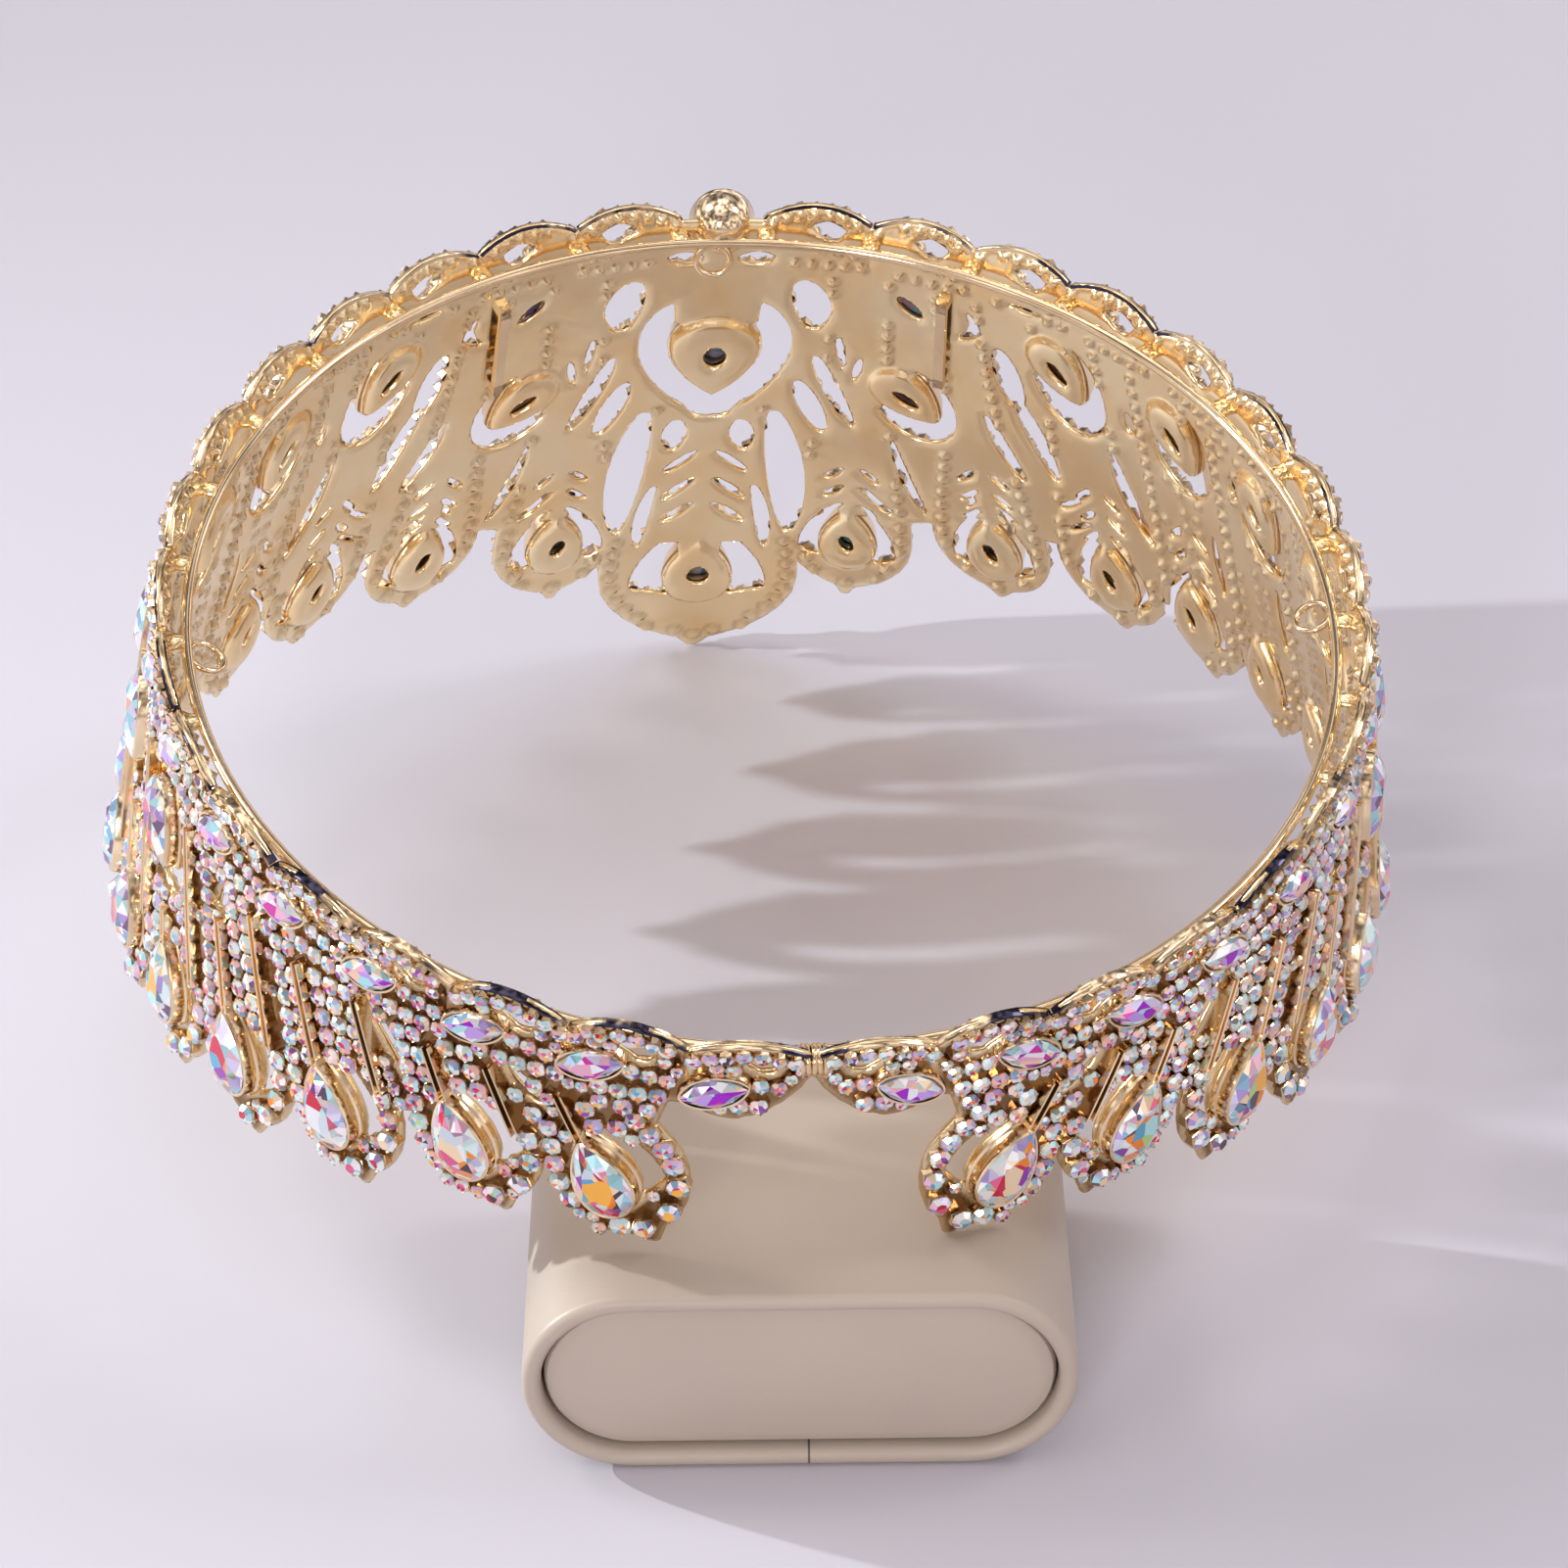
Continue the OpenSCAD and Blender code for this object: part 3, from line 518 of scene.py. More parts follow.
def rib_line(f):
    start, end = f.rib, feather_length(f) - f.eye - pear_size(f)[1] / 2
    return [feather_point(f, pear_shift(f), start + (end - start) * i / 10) for i in range(11)]


def border_line(f, g):
    """The fin where two feathers meet, from under the border to where their tips part."""
    ends = [[feather_point(h, pear_shift(h), l) for l in (7, feather_length(h) - 16.5)] for h in (f, g)]
    top, foot = (ends[0][0] + ends[1][0]) / 2, (ends[0][1] + ends[1][1]) / 2
    return [top + (foot - top) * i / 8 for i in range(9)]


def strip_along(line, half):
    line = np.array(line)
    ahead = (line[-1] - line[0]) / np.linalg.norm(line[-1] - line[0])
    side = np.array([ahead[1], -ahead[0]]) * half
    return [line[0] - side, line[0] + side, line[-1] + side, line[-1] - side]


fins = [rib_line(f) for f in FEATHERS]
fins += [border_line(f, g) for f, g in zip(FEATHERS[3:], FEATHERS[4:])]
for line in fins:
    keep_off(strip_along(line, FIN_HALF), FIN_CLEAR)
for f in FEATHERS:
    keep_off(pear_bezel(f), CLEAR)
for u in UPPERS:
    keep_off(upper_bezel(u), CLEAR)
keep_off(heart_grown(BEZEL_T), CLEAR)
keep_off(ellipse((0, ROUND_DEPTH), ROUND_D + 2, ROUND_D + 2, 0), CLEAR)
marquise_seats = [((FRONT_GAP + LEAF_DEG * k + MARQUISE_STEP) * PER_DEG,
                   MARQUISE_DEPTH + (1.4 if k == LEAVES - 1 else 0), MARQUISE_TURN) for k in range(LEAVES)]
marquise_seats.append(SIDE_MARQUISE)
for x, y, turn in marquise_seats:
    keep_off(ellipse((x, y), MARQUISE[0] + 0.2, MARQUISE[1] + 0.8, turn), CLEAR)


def tip_angles(k):
    return (0, 32) if k == 0 else (-35, 0, 35) if pear_shift(FEATHERS[k]) == 0 else (0, 32, 62)


big_seats = []
for k, f in enumerate(FEATHERS):
    spare = f.eye - pear_size(f)[1] / 2 - BEZEL_T - TIP_D / 2 - CLEAR
    for s in tip_angles(k):
        reach = f.cap - (min(3.4, spare) if s == 0 else 3.4)
        big_seats.append((*feather_point(f, (f.width / 2 - 1.5) * sin(s), widest(f) + reach * cos(s)), TIP_D))
for k in range(LEAVES):
    for s in (0.3, 0.72):
        big_seats.append(((FRONT_GAP + LEAF_DEG * (k + s)) * PER_DEG,
                          -NOTCH_H - 0.7 - 0.9 * rise(k), SMALL_D))
seats = [np.array(seat) for seat in big_seats]


def set_along(path, size, last_size=None, spacing=0.12):
    """Sets stones wherever one fits along a path of points, growing or shrinking to last_size."""
    path = np.asarray(path, float)
    lengths = np.concatenate([[0], np.cumsum(np.linalg.norm(np.diff(path, axis=0), axis=1))])
    for way in np.arange(0, lengths[-1], PACE):
        at = np.array([np.interp(way, lengths, path[:, i]) for i in (0, 1)])
        d = size + ((last_size or size) - size) * way / lengths[-1]
        if not d / 2 + SEAM_LEFT < at[0] < grid_x[-1] - d / 2 - SEAM_LEFT:
            continue
        i, j = int(round(at[0] / (grid_x[1] - grid_x[0]))), int(round((at[1] - grid_y[0]) / STEP))
        if not 0 <= j < rows or room_left[i * rows + j] > METAL_LEFT - d / 2:
            continue
        others = np.array(seats)
        if (np.hypot(others[:, 0] - at[0], others[:, 1] - at[1]) < (others[:, 2] + d) / 2 + spacing).any():
            continue
        seats.append(np.array([at[0], at[1], d]))


CREST_D, LEAF_FOOT_D, LEAF_SPLIT_D = 2.15, 2.3, 2.1
EDGE_INSET, EDGE_TIP_D, EDGE_TOP_D = 1.6, 2.9, 2.3
HEART_BAND_D, HEART_RIM_D, UPPER_RIM_D, COLUMN_D, BAND_D = 2.3, 1.7, 2.1, 2.5, 2.2
FILL_PITCH, FILL_D, FILL_SMALL_D = 1.7, 1.9, 1.6
for k in range(LEAVES):
    set_along([(leaf_x(k, s), crest(k, s) + 1.5) for s in np.linspace(0.04, 0.97, 20)], CREST_D)
    set_along([(leaf_x(k, s), 5.0 + 0.5 * sin(180 * s)) for s in np.linspace(0.04, 0.98, 12)], LEAF_FOOT_D)
    set_along([(leaf_x(k, s), 1.2 + 1.8 * s) for s in np.linspace(0.5, 0.98, 8)], LEAF_SPLIT_D)
for f in FEATHERS:
    for side in (1, -1):
        set_along(feather_edge(f, side, EDGE_INSET)[::-1], EDGE_TIP_D, EDGE_TOP_D)
edge_count = len(seats)
set_along(heart_band(26.3, 10, 41.9), HEART_BAND_D)
set_along(heart_grown(BEZEL_T + 1.2), HEART_RIM_D)
for u in UPPERS:
    set_along(upper_oval(u, 1.35), UPPER_RIM_D)
for f in FEATHERS:
    top, foot = (45 if f.angle == 0 else 8.5), feather_length(f) - f.eye - pear_size(f)[1] / 2 + 4
    for across in (2.3, -2.3, -5.2, 5.2):
        set_along([feather_point(f, pear_shift(f) + across, l) for l in (foot, top)], COLUMN_D)
for depth in (7.8, 10.5):
    set_along([(0, depth), (grid_x[-1], depth)], BAND_D)
row_count = len(seats)
for j, depth in enumerate(np.arange(-4, 97, FILL_PITCH)):
    size = FILL_D if j % 3 else FILL_SMALL_D
    set_along([(0.3 + 1.1 * (j % 2), depth), (grid_x[-1], depth)], size, spacing=0.15)
big_count = len(big_seats)


# Casting: both faces of the panel stand off its middle, with rounded edges and a raised rim along each
# window outside. Inside, a bead closes each seat of the rows, and a ring of painted shade is laid round its
# foot.
SNAP = 0.25
FACE_OUT, FACE_IN, EDGE_ROUND, EDGE_REACH = 0.5, 0.6, 0.34, 0.9
RIM_H, RIM_INSET, RIM_W = 0.3, 0.75, 0.42
EDGE_BEAD_H, BEAD_H, BEAD_R, PLAIN_DEG = 0.85, 0.45, 0.36, 50
# Painted shade round each bead's foot: its strength in the edge rows and elsewhere, then the ring's radius
# and width in bead radii.
EDGE_BEAD_SHADE, BEAD_SHADE, BEAD_SHADE_R, BEAD_SHADE_W = 0.36, 0.22, 1.1, 0.3
PEAR_CUP, UPPER_CUP, HEART_CUP, CUP_REACH = 1.2, 1.1, 1.3, 2.6


def cast_side():
    """Grid points drawn onto the metal's edge where they are near it, the faces of the metal, and the
    cuts (inner point, outer point, share) where the edge crosses the grid between two points."""
    size = (columns, rows)
    field = metal.reshape(size)
    slope_x, slope_y = np.gradient(field, grid_x[1] - grid_x[0], STEP)
    steep = np.maximum(slope_x ** 2 + slope_y ** 2, 0.3)
    near = np.abs(field) < SNAP * STEP
    x, y = (flat[:, i].reshape(size).copy() for i in (0, 1))
    move_x = -field * slope_x / steep * near
    move_x[[0, -1]] = 0
    x += move_x
    y -= field * slope_y / steep * near
    state = np.where(near, 0, np.sign(field)).astype(int).ravel()
    index = np.arange(columns * rows).reshape(size)
    cells = np.stack([index[:-1, :-1], index[1:, :-1], index[1:, 1:], index[:-1, 1:]], -1).reshape(-1, 4)
    kinds = state[cells]
    faces = [tuple(cell) for cell in cells[(kinds <= 0).all(1) & (metal[cells].mean(1) < 0)]]
    numbers, cuts = {}, []

    def cut(a, b):
        pair = (min(a, b), max(a, b))
        if pair not in numbers:
            numbers[pair] = len(flat) + len(cuts)
            cuts.append((a, b, metal[a] / (metal[a] - metal[b])))
        return numbers[pair]

    partly = (kinds > 0).any(1) & (kinds < 0).any(1)
    for cell, kind in zip(cells[partly].tolist(), kinds[partly].tolist()):
        ring = []
        for i in range(4):
            j = (i + 1) % 4
            if kind[i] <= 0:
                ring.append(cell[i])
            if kind[i] * kind[j] < 0:
                ring.append(cut(cell[i], cell[j]))
        if len(ring) > 2:
            faces.append(tuple(ring))
    return x.ravel(), y.ravel(), np.where(state == 0, 0, metal), faces, cuts


def with_cuts(values):
    share = np.array([t for a, b, t in wall_cuts])
    ends = np.array([(a, b) for a, b, t in wall_cuts])
    return np.concatenate([values, values[ends[:, 0]] * (1 - share) + values[ends[:, 1]] * share])


wall_x, wall_y, wall_edge, wall_faces, wall_cuts = cast_side()
rounding = EDGE_ROUND * (1 - np.clip(-wall_edge / EDGE_REACH, 0, 1)) ** 2
rim = RIM_H * np.exp(-((openwork + RIM_INSET) / RIM_W) ** 2)
outer = FACE_OUT - rounding + rim
inner = -FACE_IN + rounding
# Painted shade for the inner face: a dark ring round the foot of each bead.
inner_painted_shade = np.zeros(len(flat))
for k, (x, y, d) in enumerate(seats[:row_count]):
    if k >= edge_count and x < PLAIN_DEG * PER_DEG:
        continue
    high, dull_and_shade = (EDGE_BEAD_H, EDGE_BEAD_SHADE) if k < edge_count else (BEAD_H, BEAD_SHADE)
    here = np.nonzero((np.abs(flat[:, 0] - x) < d / 2) & (np.abs(flat[:, 1] - y) < d / 2))[0]
    away = np.hypot(flat[here, 0] - x, flat[here, 1] - y) / (BEAD_R * d)
    inner[here] -= high * np.clip(1 - away ** 2, 0, 1)
    inner_painted_shade[here] = np.maximum(inner_painted_shade[here], dull_and_shade * np.exp(-((away - BEAD_SHADE_R) / BEAD_SHADE_W) ** 2))


def cup(outline, deep):
    """The casting bulges behind a big stone, where its pointed back sits."""
    here = close_to(outline)
    inside = np.clip(-signed_distance(flat[here], outline) / CUP_REACH, 0, 1)
    inner[here] -= deep * np.sqrt(1 - (1 - inside) ** 2)


for f in FEATHERS:
    cup(pear_bezel(f), PEAR_CUP)
for u in UPPERS:
    cup(upper_bezel(u), UPPER_CUP)
cup(heart_grown(BEZEL_T), HEART_CUP)


# The outer face's painted shade: darker the deeper it lies in the metal, away from the windows' edges, so the
# bare plate between the stones is shaded.
wall_x, wall_y, outer, inner, outer_painted_shade, inner_painted_shade = (
    with_cuts(values) for values in (wall_x, wall_y, outer, inner, np.clip(-openwork, 0.35, 1), inner_painted_shade))


def cast_wall(name, mirrored):
    used = np.unique(np.concatenate([np.array(face) for face in wall_faces]))
    renumber = np.full(len(wall_x), -1)
    renumber[used] = np.arange(len(used))
    way = -1 if mirrored else 1
    points = np.concatenate([wall_at(way * wall_x[used], wall_y[used], outer[used]),
                             wall_at(way * wall_x[used], wall_y[used], inner[used])])
    count = len(used)
    faces, edges = [], {}
    for face in wall_faces:
        ring = [int(i) for i in renumber[list(face)]][::way]
        faces.append(ring)
        faces.append([i + count for i in ring[::-1]])
        for i, j in zip(ring, ring[1:] + ring[:1]):
            if edges.pop((j, i), None) is None:
                edges[(i, j)] = True
    faces += [[j, i, i + count, j + count] for i, j in edges]
    piece = mesh_piece(name, points, faces, cast_gold)
    # Painted shade for the cast gold: by depth in the metal on the outer face, round the beads on the inner
    # face.
    painted_shade = piece.data.attributes.new("painted_shade", "FLOAT", "POINT")
    painted_shade.data.foreach_set("value", np.concatenate([outer_painted_shade[used], inner_painted_shade[used]]))
    at_seam = np.tile((wall_x[used] < 0.01) | (wall_x[used] > grid_x[-1] - 0.01), 2)
    ends = np.empty(2 * len(piece.data.edges), int)
    piece.data.edges.foreach_get("vertices", ends)
    crease = piece.data.attributes.new("sharp_edge", "BOOLEAN", "EDGE")
    crease.data.foreach_set("value", at_seam[ends.reshape(-1, 2)].all(1))
    return piece


for name, mirrored in (("cast_wall_right", False), ("cast_wall_left", True)):
    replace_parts(cast_wall(name, mirrored), "crown_frame")


# Fins, bezels and rims: bright strips soldered or cast on the face. A pair of thin polished fins runs
# down each feather's rib and between feathers, and a bezel is rubbed over each big stone's edge.
def rail(path, profile, mirrored=False, closed=True):
    """A moulding along a flat path: profile is (sideways, height) pairs round its section."""
    path = np.asarray(path, float)
    ahead = np.roll(path, -1, 0) - np.roll(path, 1, 0) if closed else np.gradient(path, axis=0)
    ahead /= np.linalg.norm(ahead, axis=1)[:, None]
    side = np.stack([ahead[:, 1], -ahead[:, 0]], -1)
    count, around = len(path), len(profile)
    rows_of_points = []
    for s, h in profile:
        x, y = (path + side * s).T
        rows_of_points.append(wall_at(-x if mirrored else x, y, np.full(count, float(h))))
    faces = []
    for i in range(count if closed else count - 1):
        a, b = i * around, (i + 1) % count * around
        faces += [[a + j, b + j, b + (j + 1) % around, a + (j + 1) % around] for j in range(around)]
    if not closed:
        faces += [list(range(around)), list(range((count - 1) * around, count * around))]
    return np.stack(rows_of_points, 1).reshape(-1, 3), faces


def joined(name, parts, material, angle=40):
    """One piece from several moulded parts, its faces turned outwards."""
    points, faces, start = [], [], 0
    for part_points, part_faces in parts:
        points.append(part_points)
        faces += [[i + start for i in face] for face in part_faces]
        start += len(part_points)
    piece = mesh_piece(name, np.concatenate(points), faces, material)
    deselect()
    piece.select_set(True)
    bpy.context.view_layer.objects.active = piece
    bpy.ops.object.mode_set(mode="EDIT")
    bpy.ops.mesh.select_all(action="SELECT")
    bpy.ops.mesh.normals_make_consistent(inside=False)
    bpy.ops.object.mode_set(mode="OBJECT")
    bpy.ops.object.shade_smooth_by_angle(angle=math.radians(angle))
    piece.select_set(False)
    return piece


BEZEL = [(0.95, 0.3), (0.9, 0.75), (0.55, 0.95), (0.45, 2.1), (0.36, 2.5), (0.1, 2.66), (-0.06, 2.6),
         (0.1, 2.2), (0.14, 0.3)]
TWIN_FINS = [(-0.66, 0.3), (-0.6, 2.35), (-0.48, 2.5), (-0.36, 2.35), (-0.2, 1.3), (0.2, 1.3), (0.36, 2.35),
             (0.48, 2.5), (0.6, 2.35), (0.66, 0.3)]
# The leaves' outer edges are polished, gold in places and nearly black between.
EDGE = [(0.22, -0.55), (0.24, 0.3), (0.16, 0.6), (-0.02, 0.7), (-0.18, 0.6), (-0.24, 0.25), (-0.22, -0.55)]
edge_gold = gold("edge_gold", (0.80, 0.60, 0.38), (0.05, 0.045, 0.07), 0.12, 500, 0.3)
tint = next(node for node in edge_gold.node_tree.nodes
            if node.bl_idname == "ShaderNodeValToRGB").color_ramp
tint.elements[0].position, tint.elements[1].position = 0.44, 0.50
for name, mirrored in SIDES:
    parts = []
    for f in FEATHERS if not mirrored else FEATHERS[1:]:
        parts.append(rail(pear_at(f) + turned(pear_outline(*pear_size(f), 44), f.slant), BEZEL, mirrored))
    for u in UPPERS:
        parts.append(rail(upper_at(u) + turned(pear_outline(*PEAR, 44), u.turn + 180), BEZEL, mirrored))
    if not mirrored:
        parts.append(rail(HEART_AT + pear_outline(*HEART, 52) * (-1, -1), BEZEL))
    joined("bezels_" + name, parts, bright_gold)
    joined("fins_" + name, [rail(line, TWIN_FINS, mirrored, closed=False) for line in fins[mirrored:]],
           bright_gold, angle=25)
    parts = []
    for k in range(LEAVES):
        line = [(leaf_x(k, s), crest(k, s) + 0.3) for s in np.linspace(0.015, 0.985, 22)]
        parts.append(rail(line, EDGE, mirrored, closed=False))
    joined("leaf_edges_" + name, parts, edge_gold, angle=35)

# Marquise seats: low galleries of the casting round the border's pointed oval stones, polished, with
# their rims pressed over the stones' edges.
GALLERY = [(0.5, 0.4), (0.5, 1.5), (0.3, 1.95), (0.02, 1.95), (0.06, 1.6), (0.1, 0.4)]


def marquise_outline(width, length, count=28):
    u = np.arange(count) * 360 / count
    return np.stack([width / 2 * np.sign(sin(u)) * np.abs(sin(u)) ** 1.25, -length / 2 * cos(u)], -1)


for name, mirrored in SIDES:
    outline = marquise_outline(MARQUISE[0] + 0.1, MARQUISE[1] + 0.3)
    parts = [rail(np.array((x, y)) + turned(outline, turn), GALLERY, mirrored)
             for x, y, turn in marquise_seats]
    joined("marquise_seats_" + name, parts, bright_gold)

# Base wire: one round of drawn gold wire inside the crown, soldered at each notch of the border.
# Three pin loops of thinner wire hang from it, and a wrapped link ties the border's two ends.
RING_R, WIRE_D, LOOP_D, LOOP_WIRE = 75, 1.5, 5.8, 1.0
LINK_TURNS, LINK_R, LINK_WIRE, LINK_PITCH = 5, 1.7, 0.8, 0.7
crown_place = Matrix.Translation(CROWN_CENTRE * MM) @ Matrix(pose.tolist()).to_4x4() @ Matrix.Scale(MM, 4)


def round_about(angle):
    return Matrix.Rotation(math.radians(-angle), 4, "Z")


def wire_ring(name, radius, wire, place, fine=(24, 8)):
    deselect()
    bpy.ops.mesh.primitive_torus_add(major_segments=fine[0], minor_segments=fine[1], major_radius=radius,
                                     minor_radius=wire / 2)
    ring = bpy.context.object
    ring.name = name
    ring.data.transform(crown_place @ place)
    bpy.ops.object.shade_smooth()
    ring.data.materials.append(bright_gold)
    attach(ring, "root")
    return ring


wire_ring("base_wire", RING_R, WIRE_D, Matrix.Identity(4), (240, 10))
for name, angle, droop in (("front", -1.2, 78), ("right", 91, 25), ("left", -94, 25)):
    wire_ring(name + "_pin_loop", (LOOP_D - LOOP_WIRE) / 2, LOOP_WIRE,
              round_about(angle) @ Matrix.Translation((0, RING_R, 0))
              @ Matrix.Rotation(math.radians(droop), 4, "X")
              @ Matrix.Translation((0, 0.25 - LOOP_D / 2, 0)), (36, 10))
for n in range(LINK_TURNS):
    wire_ring("back_link_turn_%d" % (n + 1), LINK_R, LINK_WIRE,
              round_about(180) @ Matrix.Translation((-1.4 + LINK_PITCH * n, WALL_R, 1.2))
              @ Matrix.Rotation(math.radians(90 + 6 * (n % 2)), 4, "Y"))


BLOB, BLOB_ROUGH = (1.5, 1.9, 0.95), 0.14


def solder_blob(name, angle, dice):
    deselect()
    bpy.ops.mesh.primitive_ico_sphere_add(subdivisions=2, radius=1)
    blob = bpy.context.object
    blob.name = name
    for point in blob.data.vertices:
        point.co *= 1 + dice.uniform(-BLOB_ROUGH, BLOB_ROUGH)
    blob.data.transform(crown_place @ round_about(angle) @ Matrix.Translation((0, RING_R + 1.5, -0.3))
                        @ Matrix.Diagonal((*BLOB, 1)))
    bpy.ops.object.shade_smooth()
    blob.data.materials.append(cast_gold)
    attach(blob, "root")


dice = random.Random(11)
for word, side in (("right", 1), ("left", -1)):
    for k in range(LEAVES):
        solder_blob("solder_%s_%02d" % (word, k + 1), side * (FRONT_GAP + LEAF_DEG * k), dice)

# Seam bars: a bent bar is soldered inside each side of the front casting, along its seam with the next
# one. It stands clear of the wall on a foot at each end.
BAR = [(-0.8, -2.45), (0.8, -2.45), (0.9, -2.2), (0.9, -1.6), (-0.9, -1.6), (-0.9, -2.2)]
FOOT = [(-0.8, -2.45), (0.8, -2.45), (0.9, -0.4), (-0.9, -0.4)]
BAR_X = 23.8 * PER_DEG
BAR_SPANS = [((7.4, 13, 19, 25.4), BAR), ((7.4, 8.2, 9.2), FOOT), ((23.6, 24.5, 25.4), FOOT)]
for name, mirrored in SIDES:
    parts = [rail([(BAR_X, y) for y in span], section, mirrored, closed=False) for span, section in BAR_SPANS]
    joined("seam_bar_" + name, parts, bright_gold, angle=30)

# Round stone's cup: spun from sheet metal and soldered on the border above the heart, its closed back
# bulging into the crown over the base wire.
CUP = [(0, -3.0), (1.6, -2.8), (2.9, -2.2), (3.9, -1.2), (4.5, 0), (4.85, 1.6), (4.9, 3.0), (4.6, 3.4),
       (4.15, 3.35), (4.15, 1.2), (3.2, 0.2), (0, -0.4)]
turns = 40
lathe, faces = [], []
for r, h in CUP[1:-1]:
    t = np.arange(turns) * 360 / turns
    lathe.append(wall_at(r * sin(t), ROUND_DEPTH + r * cos(t), np.full(turns, h)))
back, floor_of_cup = (wall_at([0], [ROUND_DEPTH], [CUP[k][1]]) for k in (0, -1))
lathe = np.concatenate([back] + lathe + [floor_of_cup])
for i in range(turns):
    j = (i + 1) % turns
    faces.append([0, 1 + i, 1 + j])
    faces += [[1 + k * turns + i, 1 + (k + 1) * turns + i, 1 + (k + 1) * turns + j, 1 + k * turns + j]
              for k in range(len(CUP) - 3)]
    faces.append([len(lathe) - 1, 1 + (len(CUP) - 3) * turns + j, 1 + (len(CUP) - 3) * turns + i])
joined("round_stone_cup", [(lathe, faces)], bright_gold)

# Small stones: machine-cut glass with an iridescent coating and a foiled back, each held over its
# seat by a collar of the casting with four beads raised over the stone's edge.
PALE_FIRE = [
    (0.00, (0.94, 0.94, 0.96)), (0.14, (0.38, 0.68, 0.76)), (0.26, (0.74, 0.93, 0.92)),
    (0.38, (0.44, 0.34, 0.66)), (0.47, (0.72, 0.68, 0.90)), (0.57, (0.82, 0.48, 0.62)),
    (0.66, (1.0, 1.0, 0.97)), (0.76, (0.30, 0.50, 0.72)), (0.84, (0.84, 0.66, 0.46)),
    (0.92, (0.22, 0.15, 0.24))]
WARM_FIRE = [
    (0.00, (0.84, 0.84, 0.88)), (0.08, (0.86, 0.26, 0.03)), (0.19, (0.90, 0.70, 0.46)),
    (0.28, (0.12, 0.40, 0.60)), (0.36, (0.62, 0.70, 0.78)), (0.46, (0.62, 0.02, 0.06)),
    (0.57, (0.92, 0.46, 0.06)), (0.66, (0.46, 0.78, 0.78)), (0.74, (0.08, 0.05, 0.07)),
    (0.82, (0.74, 0.12, 0.26)), (0.90, (0.30, 0.05, 0.40)), (0.96, (0.44, 0.66, 0.24))]
VIOLET_FIRE = [
    (0.00, (0.36, 0.01, 0.56)), (0.18, (0.80, 0.42, 0.56)), (0.34, (0.84, 0.86, 0.90)),
    (0.48, (0.62, 0.03, 0.34)), (0.62, (0.52, 0.34, 0.78)), (0.76, (0.90, 0.60, 0.42)),
    (0.88, (0.40, 0.76, 0.78))]


def crystal(name, metallic, steps, deep_colours):
    """Coated glass, pale on the crown and deep in the core, by the attribute or pattern that fire gives."""
    material, tree, shader = new_material(name)
    fire, core = steps(tree)
    pale, deep = ramp(tree, fire, PALE_FIRE), ramp(tree, fire, deep_colours)
    for colours in (pale, deep):
        colours.node.color_ramp.interpolation = "CONSTANT"
    mixed = add_node(tree, "ShaderNodeMix", {"Factor": core, "A": pale, "B": deep}, data_type="RGBA")
    tree.links.new(mixed.outputs["Result"], shader.inputs["Base Color"])
    shader.inputs["Metallic"].default_value = metallic
    shader.inputs["Roughness"].default_value = 0.05
    shader.inputs["IOR"].default_value = 1.5
    shader.inputs["Coat Weight"].default_value = 0.3
    shader.inputs["Coat Roughness"].default_value = 0.02
    return material


def stone_attributes(tree):
    return [add_node(tree, "ShaderNodeAttribute", attribute_name=word).outputs["Fac"]
            for word in ("fire", "core")]


small_crystal = crystal("small_crystal", 0.35, stone_attributes, WARM_FIRE)


def seat_frames(places, mirrored):
    """Origins on the wall's middle and axes (round, down, out) of flat places, in the world."""
    x, y = places[:, 0] * (-1 if mirrored else 1), places[:, 1]
    angle, tilt = x / PER_DEG, np.where(y > 0, LEAN, -FLARE)
    none = np.zeros_like(angle)
    out = np.stack([sin(angle) * cos(tilt), cos(angle) * cos(tilt), sin(tilt)], -1)
    along = np.stack([cos(angle), -sin(angle), none], -1)
    down = np.cross(out, along)
    return wall_at(x, y, none), np.stack([along, down, out], 1) @ pose.T


def stamped(rings, tipped, places, mirrored, lifts):
    """Copies of a small eight-sided form at seats. Its rings hold radius and height, in stone diameters,
    of even and odd corners. With tipped it has a base and a point, and without it is a closed hoop."""
    sides = 8
    t = np.radians(np.arange(sides) * 360 / sides + 11)
    form = [(r[i % 2] * math.cos(a), r[i % 2] * math.sin(a), z[i % 2])
            for r, z in rings for i, a in enumerate(t)]
    faces = []
    for low in range(0, (len(rings) - 1) * sides, sides):
        faces += [[low + i, low + (i + 1) % sides, low + sides + (i + 1) % sides, low + sides + i]
                  for i in range(sides)]
    last = (len(rings) - 1) * sides
    if tipped is None:
        faces += [[last + i, last + (i + 1) % sides, (i + 1) % sides, i] for i in range(sides)]
    else:
        form.append((0, 0, tipped))
        faces += [[last + i, last + (i + 1) % sides, len(form) - 1] for i in range(sides)]
        faces.append(list(range(sides))[::-1])
    origins, axes = seat_frames(places, mirrored)
    local = np.array(form)[None] * places[:, 2][:, None, None] + lifts[:, None, None] * (0, 0, 1)
    points = origins[:, None] + np.einsum("nvk,nkc->nvc", local, axes)
    all_faces = [[i + n * len(form) for i in face] for n in range(len(places)) for face in faces]
    return points.reshape(-1, 3), all_faces


def same(v):
    return v, v


